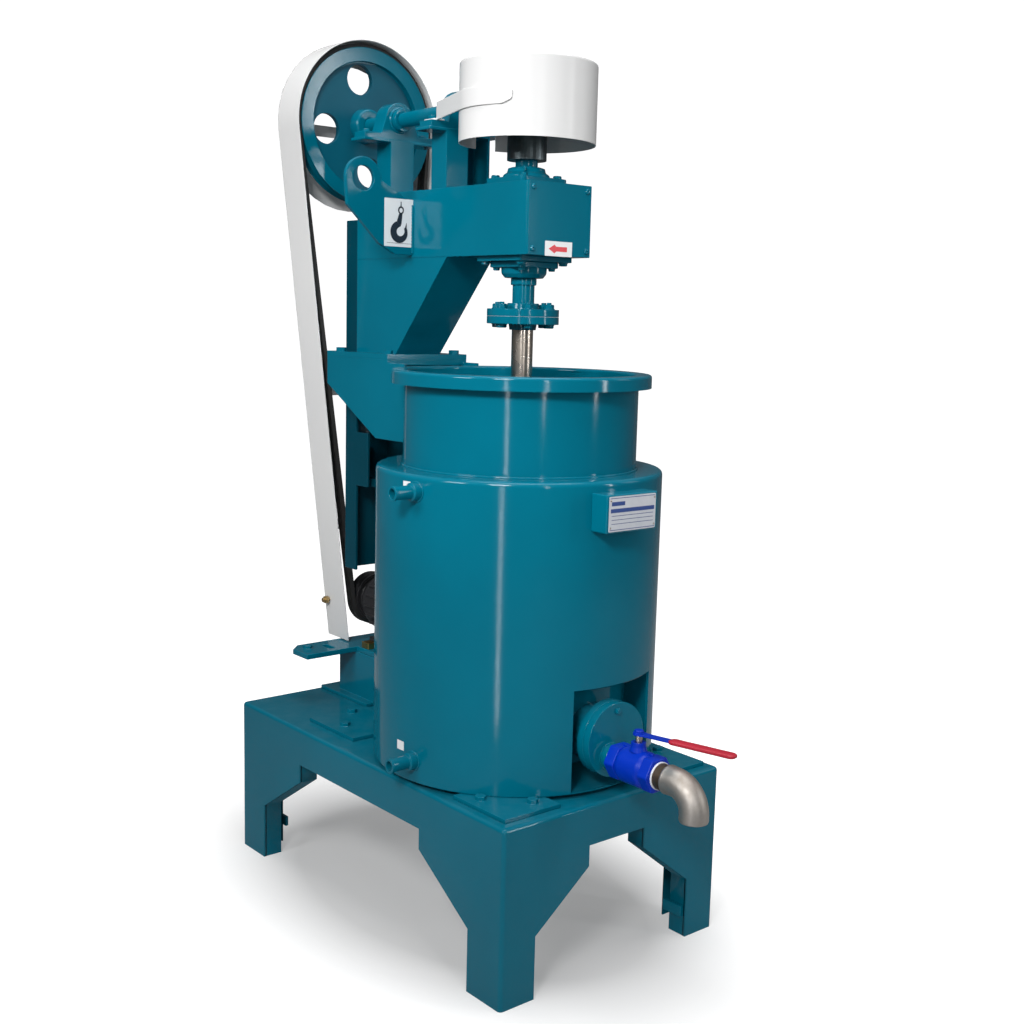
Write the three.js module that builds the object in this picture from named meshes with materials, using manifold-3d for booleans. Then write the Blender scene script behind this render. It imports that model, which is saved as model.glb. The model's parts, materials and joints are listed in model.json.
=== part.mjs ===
// Attritor mill: a jacketed grinding tank on a folded-plate table, stirred from above.
// A motor behind the tank drives a large grooved pulley by two V-belts. The pulley's
// horizontal shaft turns a vertical spindle through a pair of straight bevel gears, and a
// bolted coupling carries the stirrer shaft with its cross arms down into the tank.
// Lengths are in millimetres, angles in degrees. +Z is up, -Y is the discharge side.
// While the mill is built, Z = 0 is the floor and X = Y = 0 is the spindle's axis.

import * as THREE from 'three';
import * as BufferGeometryUtils from 'three/addons/utils/BufferGeometryUtils.js';
import Module from 'manifold-3d';

const wasm = await Module();
wasm.setup();

// Clearances
const seatGap = 0.3;
const runningGap = 0.5;
const cutOverrun = 4;

// Facets round a full circle
const hexSides = 6;
const smallFacets = 8;
const ballFacets = 16;
const coarseFacets = 16;
const mediumFacets = 20;
const fineFacets = 36;
const edgeSteps = 3;
const mergeDistance = 1e-4;
const fullTurn = 360;

// Table: an open-bottomed box of folded plate with arches cut in all four sides
const tableNose = 16;
const tableTail = 12;
const tableHeight = 420;
const tablePlate = 8;
const railDepth = 97;
const sideFootWidth = 120;
const endFootWidth = 98;
const sideGussetWidth = 190;
const endGussetWidth = 158;
const gussetLowHeight = 150;
const gussetHighHeight = 273;
const legPadHeight = 62;
const legPadThickness = 28;
const legPadReach = 142;
const legPadWidth = 62;

// Bolts
const bolt16Head = 24;
const bolt16Height = 10;
const bolt12Head = 18;
const bolt12Height = 8;
const bolt8Head = 13;
const bolt8Height = 6;

// Feet of the tank, bolted on the table
const lugThickness = 10;
const frontLugSideInset = 25;
const frontLugFrontInset = 28;
const frontLugWidth = 163;
const frontLugDepth = 185;
const frontLugSideBoltInset = 32;
const frontLugSideBoltReach = 59;
const frontLugFrontBoltInset = 42;
const frontLugFrontBoltReach = 48;
const rearLugSideInset = 59;
const rearLugWidth = 182;
const rearLugTuck = 55;
const rearLugDepth = 213;
const rearLugSideBoltInset = 41;
const rearLugSideBoltReach = 101;
const rearLugRearBoltInset = 25;
const rearLugRearBoltReach = 63;

// Cooling jacket
const jacketRadius = 350;
const jacketWall = 5;
const jacketHeight = 722;
const jacketFloor = 6;
const shoulderRadius = 12;

// Grinding vessel and its rim
const waterGap = 60;
const vesselWall = 6;
const vesselStandoff = 42;
const vesselCorner = 24;
const rimOverhang = 31;
const rimRise = 228;
const rimDepth = 32;
const rimThickness = 6;

// Window in the jacket round the outlet
const windowLeft = 100;
const windowRight = 160;
const windowHeight = 243;

// Outlet: flange, eccentric cover, ball valve and elbow, all DN50
const outletRise = 80;
const outletReach = 22;
const outletFlangeRadius = 88;
const outletFlangeThickness = 20;
const outletNeckRadius = 68;
const outletBoreRadius = 58;
const coverScrewRadius = 68;
const drainX = -20;
const drainDrop = 36;
const pipeRadius = 30.15;
const pipeWall = 3.6;
const threadDepth = 17;
const drainNippleReach = 22;
const valveLength = 136;
const valveHexFlats = 76;
const valveHexLength = 30;
const valveBarrelRadius = 42;
const ballRadius = 34;
const ballRoom = 2;
const stemRadius = 8;
const stemBossRadius = 17;
const stemBossHeight = 60;
const leverHeight = 78;
const leverThickness = 4;
const leverHubRadius = 16;
const leverWidth = 22;
const leverLength = 228;
const leverRestAngle = 14;
const gripLength = 150;
const gripWidth = 27;
const gripThickness = 11;
const tailNippleReach = 27;
const elbowRadius = 58;
const elbowBandRadius = 37;
const elbowBandLength = 20;
const elbowDrop = 14;

// Water nozzles on the jacket
const nozzleRadius = 16;
const nozzleWall = 4.5;
const nozzleReach = 62;
const nozzleY = -50;
const upperNozzleDrop = 38;
const lowerNozzleRise = 51;
const nozzleCollarRadius = 21;
const nozzleCollarLength = 14;

// Box that carries the name plate
const nameBoxWidth = 158;
const nameBoxHeight = 87;
const nameBoxProud = 42;
const nameBoxX = 3;
const nameBoxDrop = 24;

// Head: bracket on the tank neck, bolted column, arm
const columnX = -24;
const columnWidth = 144;
const columnSetback = 80;
const columnDepth = 184;
const columnHeight = 245;
const columnLean = 215;
const columnWall = 8;
const columnFlangeWidth = 256;
const columnFlangeNose = 44;
const columnFlangeTail = 60;
const columnFlangeThickness = 14;
const columnFlangeRise = 27;
const columnBoltX = 107;
const columnBoltFrontInset = 29;
const columnBoltRearInset = 38;
const bracketPlate = 12;
const bracketRise = 36;
const bracketToeReach = 8;
const bracketTailRise = 131;
const bracketStubWidth = 46;
const bracketStubReach = 51;
const armWidth = 194;
const armFront = 119;
const armDepth = 166;
const armWall = 8;
const endCoverThickness = 6;
const endCoverInset = 14;
const coverLugSize = 24;
const coverLugDepth = 14;
const coverScrewHeadRadius = 7;
const spindleHoleRadius = 40;

// Lifting ears on both sides of the arm
const earY = 325;
const earThickness = 12;
const earReach = 148;
const earRise = 19;
const earRadius = 52;
const earHoleRadius = 30;
const earNeckInset = 47;
const earNeckRise = 31;
const earElbowInset = 95;
const earCornerShare = 0.9;
const earCornerDrop = 65;
const earFootRise = 6;
const earShoulderDrop = 32;

// Post behind the column, which carries the belt guard
const postDepth = 54;
const postPlate = 8;
const postTopDrop = 62;
const postLength = 954;
const postWideLength = 148;
const postWideReach = 56;
const postTieRise = 10;
const postTieSize = 22;
const postTieInset = 36;

// Horizontal drive shaft, its pedestals and pillow blocks
const shaftRise = 36;
const shaftRadius = 20;
const shaftTail = 18;
const shaftFront = 80;
const pedestalHeight = 140;
const pedestalPlate = 8;
const pedestalPlateLength = 240;
const pedestalWall = 6;
const rearPedestalWidth = 75;
const rearPedestalInset = 68;
const rearPedestalDepth = 66;
const frontPedestalWidth = 138;
const frontPedestalGap = 63;
const frontPedestalDepth = 62;
const pedestalPocket = 40;
const pillowWidth = 50;
const pillowFootLength = 222;
const pillowFootThickness = 16;
const pillowBoltX = 90;
const pillowHousingRadius = 46;
const pillowInsertRadius = 33;
const pillowInsertProud = 4;
const pillowSetback = 13;
const shankRadius = 6;
const collarRadius = 30;
const collarLength = 16;

// Bevel gears: straight teeth, shafts at a right angle
const gearModule = 6;
const gearTeeth = 40;
const pinionTeeth = 15;
const faceLength = 38;
const toothSink = 1.5;
const addendumShare = 0.78;
const dedendumShare = 1.1;
const toothThicknessShare = 0.43;
const flankAngle = 21;
const gearRimThickness = 18;
const gearWebThickness = 14;
const gearHubRadius = 47;
const gearHubGap = 18;
const pinionHubRadius = 31;
const pinionHubLength = 30;

// Round guard over the gears, hung on a strap from the front pillow block
const gearGuardRadius = 163;
const gearGuardWall = 3;
const gearGuardCrown = 78;
const gearGuardSkirt = 105;
const gearGuardSlot = 31;
const strapThickness = 4;
const strapHeight = 42;
const strapEndAngle = 217;
const strapLeaveAngle = 160.5;
const strapBoltMargin = 22;

// Spindle, its flange bearings and the bolted coupling
const spindleRadius = 26.5;
const spindleTail = 6;
const spindleNutRadius = 36;
const spindleNutHeight = 16;
const bearingSquare = 142;
const bearingFlange = 16;
const bearingHousingRadius = 55;
const upperBearingHeight = 40;
const lowerBearingHeight = 38;
const bearingBoltSpacing = 104;
const lowerPlateSquare = 164;
const lowerPlateThickness = 12;
const lowerPlateBoltSpacing = 132;
const spindleCollarRadius = 31;
const spindleCollarLength = 16;
const couplingRadius = 87;
const couplingThickness = 18;
const couplingDrop = 141;
const couplingHubRadius = 38;
const couplingHubLength = 14;
const couplingBolts = 6;
const couplingBoltCircle = 66;
const lowerHubRadius = 32;
const lowerHubLength = 14;

// Stirrer
const stirrerRadius = 26;
const stirrerEndGap = 48;
const rodRadius = 12;
const armEndGap = 27;
const armLevels = 5;
const lowestArmRise = 84;
const armPitch = 118;

// Belt drive
const bigPulleyRadius = 208;
const motorPulleyRadius = 70;
const grooveCount = 2;
const groovePitch = 19;
const grooveEdge = 12.5;
const grooveTopWidth = 17;
const grooveDepth = 14;
const beltHeight = 11;
const beltProud = 0.8;
const beltFlankGap = 0.8;
const grooveFlankAngle = 19;
const pulleyStandoff = 100;
const pulleyRimThickness = 19;
const pulleyRingRadius = 162;
const pulleyRingStep = 6;
const pulleyWebThickness = 16;
const pulleyWebInset = 14;
const pulleyHoleCircle = 122;
const pulleyHoleRadius = 28;
const pulleyHoleAngle = 8;
const pulleyHoles = 4;
const pulleyHubRadius = 44;
const pulleyHubProud = 30;
const motorPulleyBoss = 36;
const motorPulleyBossProud = 4;

// Belt guard
const guardWall = 2.5;
const guardFrontReach = 12;
const guardRearReach = 51;
const guardUpperGap = 18;
const guardLowerGap = 48;
const guardBottomDrop = 114;
const guardBackLip = 30;
const guardRingWidth = 58;
const guardStrapWidth = 30;
const upperStrapRise = 488;
const lowerStrapRise = 98;
const hubStrapDrop = 14;
const guardStayWidth = 24;
const guardStayHeight = 30;
const guardStudRadius = 9;
const guardStudLength = 22;
const guardStudDrop = 6;
const guardStudInset = 20;

// Motor and its stand
const motorX = 45;
const motorShaftRise = 100;
const motorPlateRise = 152;
const motorPlateThickness = 14;
const motorPlateLeft = 232;
const motorPlateRight = 258;
const motorPlateLength = 350;
const motorPlateChamfer = 34;
const motorTongueWidth = 110;
const tongueSlotInset = 99;
const tongueSlotReach = 46;
const tongueSlotWidth = 18;
const tongueSlotLength = 44;
const tongueBoltInset = 40;
const tongueBoltReach = 63;
const motorPlateTongueLeft = 66;
const motorRailHeight = 18;
const motorRailWidth = 34;
const motorRailOverhang = 22;
const frontRailInset = 12;
const rearRailInset = 44;
const motorBodyRadius = 84;
const motorFins = 20;
const motorFinHeight = 9;
const motorFinThickness = 4;
const motorFinInset = 12;
const motorBodyLength = 206;
const motorSetback = 56;
const motorFootWidth = 170;
const motorFootThickness = 12;
const motorFootLength = 22;
const motorFootSpan = 90;
const endShieldRadius = 78;
const endShieldLength = 16;
const fanCowlRadius = 90;
const fanCowlWall = 2;
const fanCowlLength = 46;
const cowlSeatLength = 6;
const fanGrilleSlots = 3;
const fanGrilleInner = 22;
const fanGrillePitch = 20;
const fanGrilleSlotWidth = 9;
const fanGrilleBar = 10;
const fanHubRadius = 22;
const fanSetback = 10;
const fanRadius = 66;
const fanLength = 22;
const fanBlades = 8;
const fanBladeThickness = 3;
const motorShaftRadius = 14;
const terminalBoxWidth = 92;
const terminalBoxLength = 96;
const terminalBoxHeight = 46;
const terminalBoxSetback = 4;
const terminalLidLip = 3;
const terminalLidThickness = 6;
const glandRadius = 13;
const glandLength = 26;
const standLeft = 70;
const standRight = 188;
const standPlate = 10;
const standFrontInset = 28;
const standNose = 30;
const standFootDepth = 176;
const standTail = 60;
const standBoltLeftX = -2;
const standBoltRightX = 55;
const standRearInset = 22;
const standFootReach = 25;
const standFootThickness = 10;

// Places that the sizes above give, from the table up and from the tank back

// Tank on the table, which is as wide as the jacket's inside
const baseTop = tableHeight;
const tankFoot = baseTop + lugThickness;
const jacketTop = tankFoot + jacketHeight;
const windowTop = tankFoot + windowHeight;
const vesselRadius = jacketRadius - jacketWall - waterGap;
const vesselBottom = tankFoot + vesselStandoff;
const rimRadius = vesselRadius + rimOverhang;
const rimTop = jacketTop + rimRise;
const tableWidth = 2 * (jacketRadius - jacketWall);

// Outlet, nozzles and name plate box
const outletHeight = vesselBottom + outletRise;
const outletFace = jacketRadius + outletReach;
const drainHeight = outletHeight - drainDrop;
const valveStart = outletFace + drainNippleReach;
const elbowFace = valveStart + valveLength + tailNippleReach;
const nozzleMouth = jacketRadius + nozzleReach;
const upperNozzleHeight = jacketTop - upperNozzleDrop;
const lowerNozzleHeight = tankFoot + lowerNozzleRise;
const nameBoxFace = jacketRadius + nameBoxProud;
const nameBoxBase = jacketTop - nameBoxDrop - nameBoxHeight;

// Bracket, column and arm
const columnFront = rimRadius + columnSetback;
const columnRear = columnFront + columnDepth;
const columnFlangeFront = columnFront - columnFlangeNose;
const columnFlangeRear = columnRear + columnFlangeTail;
const columnFlangeTop = rimTop + columnFlangeRise;
const columnBoltFront = columnFlangeFront + columnBoltFrontInset;
const columnBoltRear = columnFlangeRear - columnBoltRearInset;
const bracketBottom = jacketTop + bracketRise;
const bracketToe = columnFront + bracketToeReach;
const bracketTailHeight = bracketBottom + bracketTailRise;
const braceFront = columnFront - columnLean;
const armBottom = columnFlangeTop + columnHeight;
const armTop = armBottom + armDepth;

// Lifting ears
const earX = armWidth / 2 + earReach;
const earHeight = armTop + earRise;
const earNeckX = earX - earNeckInset;
const earNeckHeight = armBottom + earNeckRise;
const earElbowX = earX - earElbowInset;
const earCornerHeight = earHeight - earCornerDrop;
const earFootHeight = armBottom + earFootRise;
const earShoulderHeight = armTop - earShoulderDrop;

// Post behind the column
const postTop = armTop - postTopDrop;
const postBottom = postTop - postLength;
const postWideBottom = bracketBottom - postWideLength;
const postWideFront = columnRear - postWideReach;
const postTieHeight = postWideBottom + postTieRise;

// Drive shaft, gears, spindle and stirrer
const pulleyFace = columnRear + pulleyStandoff;
const pulleyWidth = (grooveCount - 1) * groovePitch + 2 * grooveEdge;
const pulleyRear = pulleyFace + pulleyWidth;
const pedestalTop = armTop + pedestalHeight;
const shaftHeight = pedestalTop + pedestalPlate + pillowFootThickness + shaftRise;
const shaftRear = pulleyRear + shaftTail;
const rearPedestalFront = columnRear - rearPedestalInset;
const frontPedestalFront = gearGuardRadius + frontPedestalGap;
const gearHubBottom = armTop + upperBearingHeight + gearHubGap;
const gearGuardTop = shaftHeight + gearGuardCrown;
const gearGuardBottom = shaftHeight - gearGuardSkirt;
const couplingFace = armBottom - couplingDrop;
const stirrerBottom = vesselBottom + stirrerEndGap;
const armReach = vesselRadius - vesselWall - armEndGap;
const lowestArm = vesselBottom + lowestArmRise;

// Motor on its plate, with its pulley in line with the big one
const motorPlateTop = baseTop + motorPlateRise;
const motorAxisHeight = motorPlateTop + motorRailHeight + motorShaftRise;
const motorBodyRear = pulleyFace - motorSetback;
const motorBodyFront = motorBodyRear - motorBodyLength;
const frontRailY = motorBodyFront + frontRailInset;
const rearRailY = motorBodyRear - rearRailInset;
const motorPlateFront = motorBodyFront - fanCowlLength;
const motorPlateRear = motorPlateFront + motorPlateLength;
const motorTongueFront = motorPlateRear - motorTongueWidth;
const tongueSlotX = motorPlateLeft - tongueSlotInset;
const tongueSlotY = motorTongueFront + tongueSlotReach;
const tongueBoltX = motorPlateLeft - tongueBoltInset;
const tongueBoltY = motorTongueFront + tongueBoltReach;
const standFront = motorPlateFront + standFrontInset;
const standRear = motorPlateRear - standRearInset;
const standFootFront = standRear - standFootDepth;

// Belt guard
const guardFront = pulleyFace - guardFrontReach;
const guardRear = pulleyRear + guardRearReach;
const guardUpperRadius = bigPulleyRadius + guardUpperGap;
const guardLowerRadius = motorPulleyRadius + guardLowerGap;
const guardBottom = motorAxisHeight - guardBottomDrop;
const guardRingInner = guardUpperRadius - guardRingWidth;
const upperStrapHeight = postBottom + upperStrapRise;
const lowerStrapHeight = postBottom + lowerStrapRise;
const hubStrapHeight = shaftHeight - hubStrapDrop;
const guardStudHeight = motorAxisHeight - guardStudDrop;

// The table reaches from under the outlet cover to behind the motor's stand
const tableFront = outletFace + tableNose;
const tableRear = standRear + standTail + tableTail;
const frontLugOuterX = tableWidth / 2 - frontLugSideInset;
const frontLugOuterY = tableFront - frontLugFrontInset;
const frontLugInnerX = frontLugOuterX - frontLugWidth;
const frontLugInnerY = frontLugOuterY - frontLugDepth;
const frontLugSideBoltX = frontLugOuterX - frontLugSideBoltInset;
const frontLugSideBoltY = frontLugInnerY + frontLugSideBoltReach;
const frontLugFrontBoltX = frontLugInnerX + frontLugFrontBoltReach;
const frontLugFrontBoltY = frontLugOuterY - frontLugFrontBoltInset;
const rearLugOuterX = tableWidth / 2 - rearLugSideInset;
const rearLugInnerX = rearLugOuterX - rearLugWidth;
const rearLugFront = jacketRadius - rearLugTuck;
const rearLugRear = rearLugFront + rearLugDepth;
const rearLugSideBoltX = rearLugOuterX - rearLugSideBoltInset;
const rearLugSideBoltY = rearLugFront + rearLugSideBoltReach;
const rearLugRearBoltX = rearLugInnerX + rearLugRearBoltReach;
const rearLugRearBoltY = rearLugRear - rearLugRearBoltInset;

const radians = THREE.MathUtils.degToRad;

// Materials

function material(colour, roughness, metalness) {
  return new THREE.MeshStandardMaterial({ color: colour, roughness, metalness });
}

const tealPaint = material(0x006878, 0.28, 0.1);
const whitePaint = material(0xe9ebec, 0.35, 0.0);
const bluePaint = material(0x0a3fc0, 0.35, 0.1);
const redGrip = material(0xc8283c, 0.45, 0.0);
const stainless = material(0xa9a49c, 0.35, 0.9);
const castSteel = material(0x7d6a58, 0.55, 0.6);
const blackRubber = material(0x101012, 0.75, 0.0);
const blackPaint = material(0x17181b, 0.5, 0.2);
const zincYellow = material(0xa8863c, 0.4, 0.7);
const gearSteel = material(0x5c6670, 0.4, 0.8);

// Solids from three.js geometry

function toManifold(geometry) {
  const bare = geometry.index ? geometry.clone() : geometry;
  bare.deleteAttribute('normal');
  bare.deleteAttribute('uv');
  const merged = BufferGeometryUtils.mergeVertices(bare, mergeDistance);
  const mesh = new wasm.Mesh({
    numProp: 3,
    vertProperties: new Float32Array(merged.attributes.position.array),
    triVerts: new Uint32Array(merged.index.array),
  });
  return new wasm.Manifold(mesh);
}

function toGeometry(solid) {
  const mesh = solid.getMesh();
  const geometry = new THREE.BufferGeometry();
  geometry.setAttribute('position', new THREE.BufferAttribute(mesh.vertProperties, 3));
  geometry.setIndex(new THREE.BufferAttribute(mesh.triVerts, 1));
  geometry.computeVertexNormals();
  return geometry;
}

function join(...solids) {
  return solids.reduce((whole, next) => whole.add(next));
}

function cut(solid, ...tools) {
  return tools.reduce((whole, tool) => whole.subtract(tool), solid);
}

// A box from its limits along X, Y and Z
function block(x, y, z) {
  const geometry = new THREE.BoxGeometry(x[1] - x[0], y[1] - y[0], z[1] - z[0]);
  geometry.translate((x[0] + x[1]) / 2, (y[0] + y[1]) / 2, (z[0] + z[1]) / 2);
  return toManifold(geometry);
}

// Limits of a length that is centred on a place
function about(centre, length) {
  return [centre - length / 2, centre + length / 2];
}

// A round bar along Z, Y or X, given by its radius, the limits along it and its centre
function barZ(radius, z, x, y, facets = mediumFacets, topRadius = radius) {
  const geometry = new THREE.CylinderGeometry(topRadius, radius, z[1] - z[0], facets);
  geometry.rotateX(Math.PI / 2);
  geometry.translate(x, y, (z[0] + z[1]) / 2);
  return toManifold(geometry);
}

function barY(radius, y, x, z, facets = mediumFacets) {
  const geometry = new THREE.CylinderGeometry(radius, radius, y[1] - y[0], facets);
  geometry.translate(x, (y[0] + y[1]) / 2, z);
  return toManifold(geometry);
}

function barX(radius, x, y, z, facets = mediumFacets) {
  const geometry = new THREE.CylinderGeometry(radius, radius, x[1] - x[0], facets);
  geometry.rotateZ(-Math.PI / 2);
  geometry.translate((x[0] + x[1]) / 2, y, z);
  return toManifold(geometry);
}

// A revolved solid about the Z axis, from points [radius, height] in turn round the section
function revolve(points, facets = fineFacets) {
  const closed = [...points, points[0]].map(([radius, height]) => new THREE.Vector2(radius, height));
  const geometry = new THREE.LatheGeometry(closed, facets);
  geometry.rotateX(Math.PI / 2);
  const solid = toManifold(geometry);
  return solid.volume() < 0 ? toManifold(turnedInsideOut(geometry)) : solid;
}

function turnedInsideOut(geometry) {
  const flipped = geometry.clone();
  const index = flipped.index.array;
  for (let i = 0; i < index.length; i += 3) {
    [index[i], index[i + 1]] = [index[i + 1], index[i]];
  }
  return flipped;
}

// The same, about a horizontal axis along +Y through (x, z); heights become distances along Y
function revolveY(points, x, z, facets = fineFacets) {
  return revolve(points, facets).rotate([-90, 0, 0]).translate([x, 0, z]);
}

function shapeOf(points) {
  return new THREE.Shape(points.map(([a, b]) => new THREE.Vector2(a, b)));
}

// A flat plate from its outline in XY, in XZ or in YZ, and its limits across
function plateXY(shape, z) {
  const geometry = new THREE.ExtrudeGeometry(shape, {
    depth: z[1] - z[0],
    bevelEnabled: false,
    curveSegments: smallFacets,
  });
  geometry.translate(0, 0, z[0]);
  return toManifold(geometry);
}

function plateXZ(shape, y) {
  return plateXY(shape, [-y[1], -y[0]]).rotate([90, 0, 0]);
}

function plateYZ(shape, x) {
  return plateXY(shape, x).rotate([90, 0, 90]);
}

// Hexagon bars with their flats a given distance apart
function hexZ(flats, z, x, y) {
  return barZ(flats / Math.sqrt(3), z, x, y, hexSides);
}

function hexY(flats, y, x, z) {
  return barY(flats / Math.sqrt(3), y, x, z, hexSides);
}

// A solid from its corners and the corners of each triangle
function closedMesh(corners, faces) {
  const geometry = new THREE.BufferGeometry();
  geometry.setAttribute('position', new THREE.Float32BufferAttribute(corners.flat(), 3));
  geometry.setIndex(faces);
  const solid = toManifold(geometry);
  return solid.volume() < 0 ? toManifold(turnedInsideOut(geometry)) : solid;
}

// A hexagon bolt head that stands on a face
function boltUp(flats, height, x, y, z) {
  return hexZ(flats, [z - seatGap, z + height], x, y);
}

function boltDown(flats, height, x, y, z) {
  return boltUp(flats, height, x, y, 0).mirror([0, 0, 1]).translate([0, 0, z]);
}

// The same head on a face that looks along -Y
function boltFront(flats, height, x, y, z) {
  return boltUp(flats, height, 0, 0, 0).rotate([90, 0, 0]).translate([x, y, z]);
}

// Each named piece becomes a mesh of the mill
const mill = new THREE.Group();
mill.name = 'attritor_mill';

function piece(name, solid, finish) {
  const mesh = new THREE.Mesh(toGeometry(solid), finish);
  mesh.name = name;
  mill.add(mesh);
  return mesh;
}

// Points along an arc in a plane, from one angle to another in equal steps
function arcPoints(centre, radius, from, to, steps) {
  return Array.from({ length: steps + 1 }, (_, i) => {
    const angle = radians(from + (to - from) * i / steps);
    return [centre[0] + radius * Math.cos(angle), centre[1] + radius * Math.sin(angle)];
  });
}

// Table

// An arch between two feet: foot, sloping gusset, short upright and rail
function archShape(low, high, footWidth, gussetWidth) {
  const railBottom = tableHeight - railDepth;
  const half = [
    [low + footWidth, -cutOverrun],
    [low + footWidth, gussetLowHeight],
    [low + footWidth + gussetWidth, gussetHighHeight],
    [low + footWidth + gussetWidth, railBottom],
  ];
  const otherHalf = half.map(([a, b]) => [low + high - a, b]).reverse();
  return shapeOf([...half, ...otherHalf]);
}

function legPad(side, edge, inward) {
  const halfWidth = tableWidth / 2;
  const x = [side * (halfWidth - tablePlate / 2), side * (halfWidth - legPadWidth)].sort((a, b) => a - b);
  const y = [edge + inward * tablePlate / 2, edge + inward * legPadReach].sort((a, b) => a - b);
  return block(x, y, [legPadHeight, legPadHeight + legPadThickness]);
}

function table() {
  const x = about(0, tableWidth);
  const y = [-tableFront, tableRear];
  const outside = block(x, y, [0, tableHeight]);
  const inside = block(
    about(0, tableWidth - 2 * tablePlate),
    [y[0] + tablePlate, y[1] - tablePlate],
    [-cutOverrun, tableHeight - tablePlate],
  );
  const sideArch = plateYZ(
    archShape(y[0], y[1], sideFootWidth, sideGussetWidth),
    [x[0] - cutOverrun, x[1] + cutOverrun],
  );
  const endArch = plateXZ(
    archShape(x[0], x[1], endFootWidth, endGussetWidth),
    [y[0] - cutOverrun, y[1] + cutOverrun],
  );
  const pads = [-1, 1].flatMap((side) => [legPad(side, y[0], 1), legPad(side, y[1], -1)]);
  return join(cut(outside, inside, sideArch, endArch), ...pads);
}

// A foot of the tank: a plate that reaches from under the jacket, held by two bolts
function tankLug(side, x, y, bolts) {
  const plate = block(x.map((a) => side * a).sort((a, b) => a - b), y, [baseTop, tankFoot]);
  const heads = bolts.map(([a, b]) => boltUp(bolt16Head, bolt16Height, side * a, b, tankFoot));
  return join(plate, ...heads);
}

function frontLug(side) {
  return tankLug(
    side,
    [frontLugInnerX, frontLugOuterX],
    [-frontLugOuterY, -frontLugInnerY],
    [[frontLugSideBoltX, -frontLugSideBoltY], [frontLugFrontBoltX, -frontLugFrontBoltY]],
  );
}

function rearLug(side) {
  return tankLug(
    side,
    [rearLugInnerX, rearLugOuterX],
    [rearLugFront, rearLugRear],
    [[rearLugSideBoltX, rearLugSideBoltY], [rearLugRearBoltX, rearLugRearBoltY]],
  );
}

// Cooling jacket: floor, wall and rounded shoulder, with a boxed window round the outlet

// The rounded edge of a revolved wall, from its side up to its top
function roundEdge(radius, height, corner) {
  return arcPoints([radius - corner, height - corner], corner, 0, 90, edgeSteps);
}

function windowBox(margin, back) {
  return block(
    [-windowLeft - margin, windowRight + margin],
    [-jacketRadius - cutOverrun, -back],
    [tankFoot - cutOverrun, windowTop + margin],
  );
}

function jacket() {
  const innerRadius = jacketRadius - jacketWall;
  const innerTop = jacketTop - jacketWall;
  const neck = vesselRadius + seatGap;
  const shell = revolve([
    [0, tankFoot],
    [jacketRadius, tankFoot],
    ...roundEdge(jacketRadius, jacketTop, shoulderRadius),
    [neck, jacketTop],
    [neck, innerTop],
    ...roundEdge(innerRadius, innerTop, shoulderRadius - jacketWall).reverse(),
    [innerRadius, tankFoot + jacketFloor],
    [0, tankFoot + jacketFloor],
  ]);
  const withinJacket = barZ(jacketRadius, [tankFoot, jacketTop], 0, 0, fineFacets);
  const vesselRoom = barZ(neck, [tankFoot - cutOverrun, jacketTop], 0, 0, fineFacets);
  const sleeve = cut(windowBox(jacketWall, 0).intersect(withinJacket), vesselRoom, windowBox(0, 0));
  const apron = block(
    [-windowLeft - jacketWall, windowRight + jacketWall],
    [-vesselRadius - jacketWall, -vesselRadius - seatGap],
    [tankFoot, vesselBottom - seatGap],
  );
  const opened = join(cut(shell, windowBox(0, vesselRadius)), sleeve, apron);
  const holes = [upperNozzleHeight, lowerNozzleHeight].map((height) => barX(
    nozzleRadius - nozzleWall,
    [-nozzleMouth, -innerRadius / 2],
    nozzleY,
    height,
    smallFacets,
  ));
  return cut(opened, ...holes);
}

// Vessel with a rounded bottom edge and a rolled angle round its mouth
function vessel() {
  const innerRadius = vesselRadius - vesselWall;
  const floorTop = vesselBottom + vesselWall;
  const innerCorner = vesselCorner - vesselWall;
  const cornerCentre = [vesselRadius - vesselCorner, vesselBottom + vesselCorner];
  const shell = revolve([
    [0, vesselBottom],
    ...arcPoints(cornerCentre, vesselCorner, -90, 0, edgeSteps),
    [vesselRadius, rimTop - rimThickness],
    [rimRadius - rimThickness, rimTop - rimThickness],
    [rimRadius - rimThickness, rimTop - rimDepth],
    [rimRadius, rimTop - rimDepth],
    [rimRadius, rimTop],
    [innerRadius, rimTop],
    ...arcPoints(cornerCentre, innerCorner, 0, -90, edgeSteps),
    [0, floorTop],
  ]);
  const outletHole = barY(
    outletBoreRadius,
    [-vesselRadius - cutOverrun, 0],
    0,
    outletHeight,
    coarseFacets,
  );
  return cut(shell, outletHole);
}

// Outlet: flange and neck, cover with an off-centre drain, nipples, ball valve, elbow

const drain = [drainX, drainHeight];
const coverBack = outletFace - outletFlangeThickness;
const flangeFace = coverBack - seatGap;
const flangeBack = flangeFace - outletFlangeThickness;
const valveMiddle = valveStart + valveLength / 2;
const valveEnd = valveStart + valveLength;
const socketRadius = pipeRadius + seatGap;
const socketDepth = threadDepth + seatGap;
const pipeBore = pipeRadius - pipeWall;

function outletFlange() {
  const ring = barY(outletFlangeRadius, [-flangeFace, -flangeBack], 0, outletHeight);
  const neck = barY(outletNeckRadius, [-flangeFace, -vesselRadius / 2], 0, outletHeight);
  const room = barZ(vesselRadius + seatGap, [vesselBottom, windowTop], 0, 0, fineFacets);
  const bore = barY(outletBoreRadius, [-outletFace, 0], 0, outletHeight, coarseFacets);
  return cut(join(ring, neck), room, bore);
}

function outletCover() {
  const disc = barY(outletFlangeRadius, [-outletFace, -coverBack], 0, outletHeight);
  const drainHole = barY(
    socketRadius,
    [-outletFace - cutOverrun, -coverBack + cutOverrun],
    ...drain,
    coarseFacets,
  );
  const screw = boltFront(bolt8Head, bolt8Height, 0, -outletFace, outletHeight + coverScrewRadius);
  return join(cut(disc, drainHole), screw);
}

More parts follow.
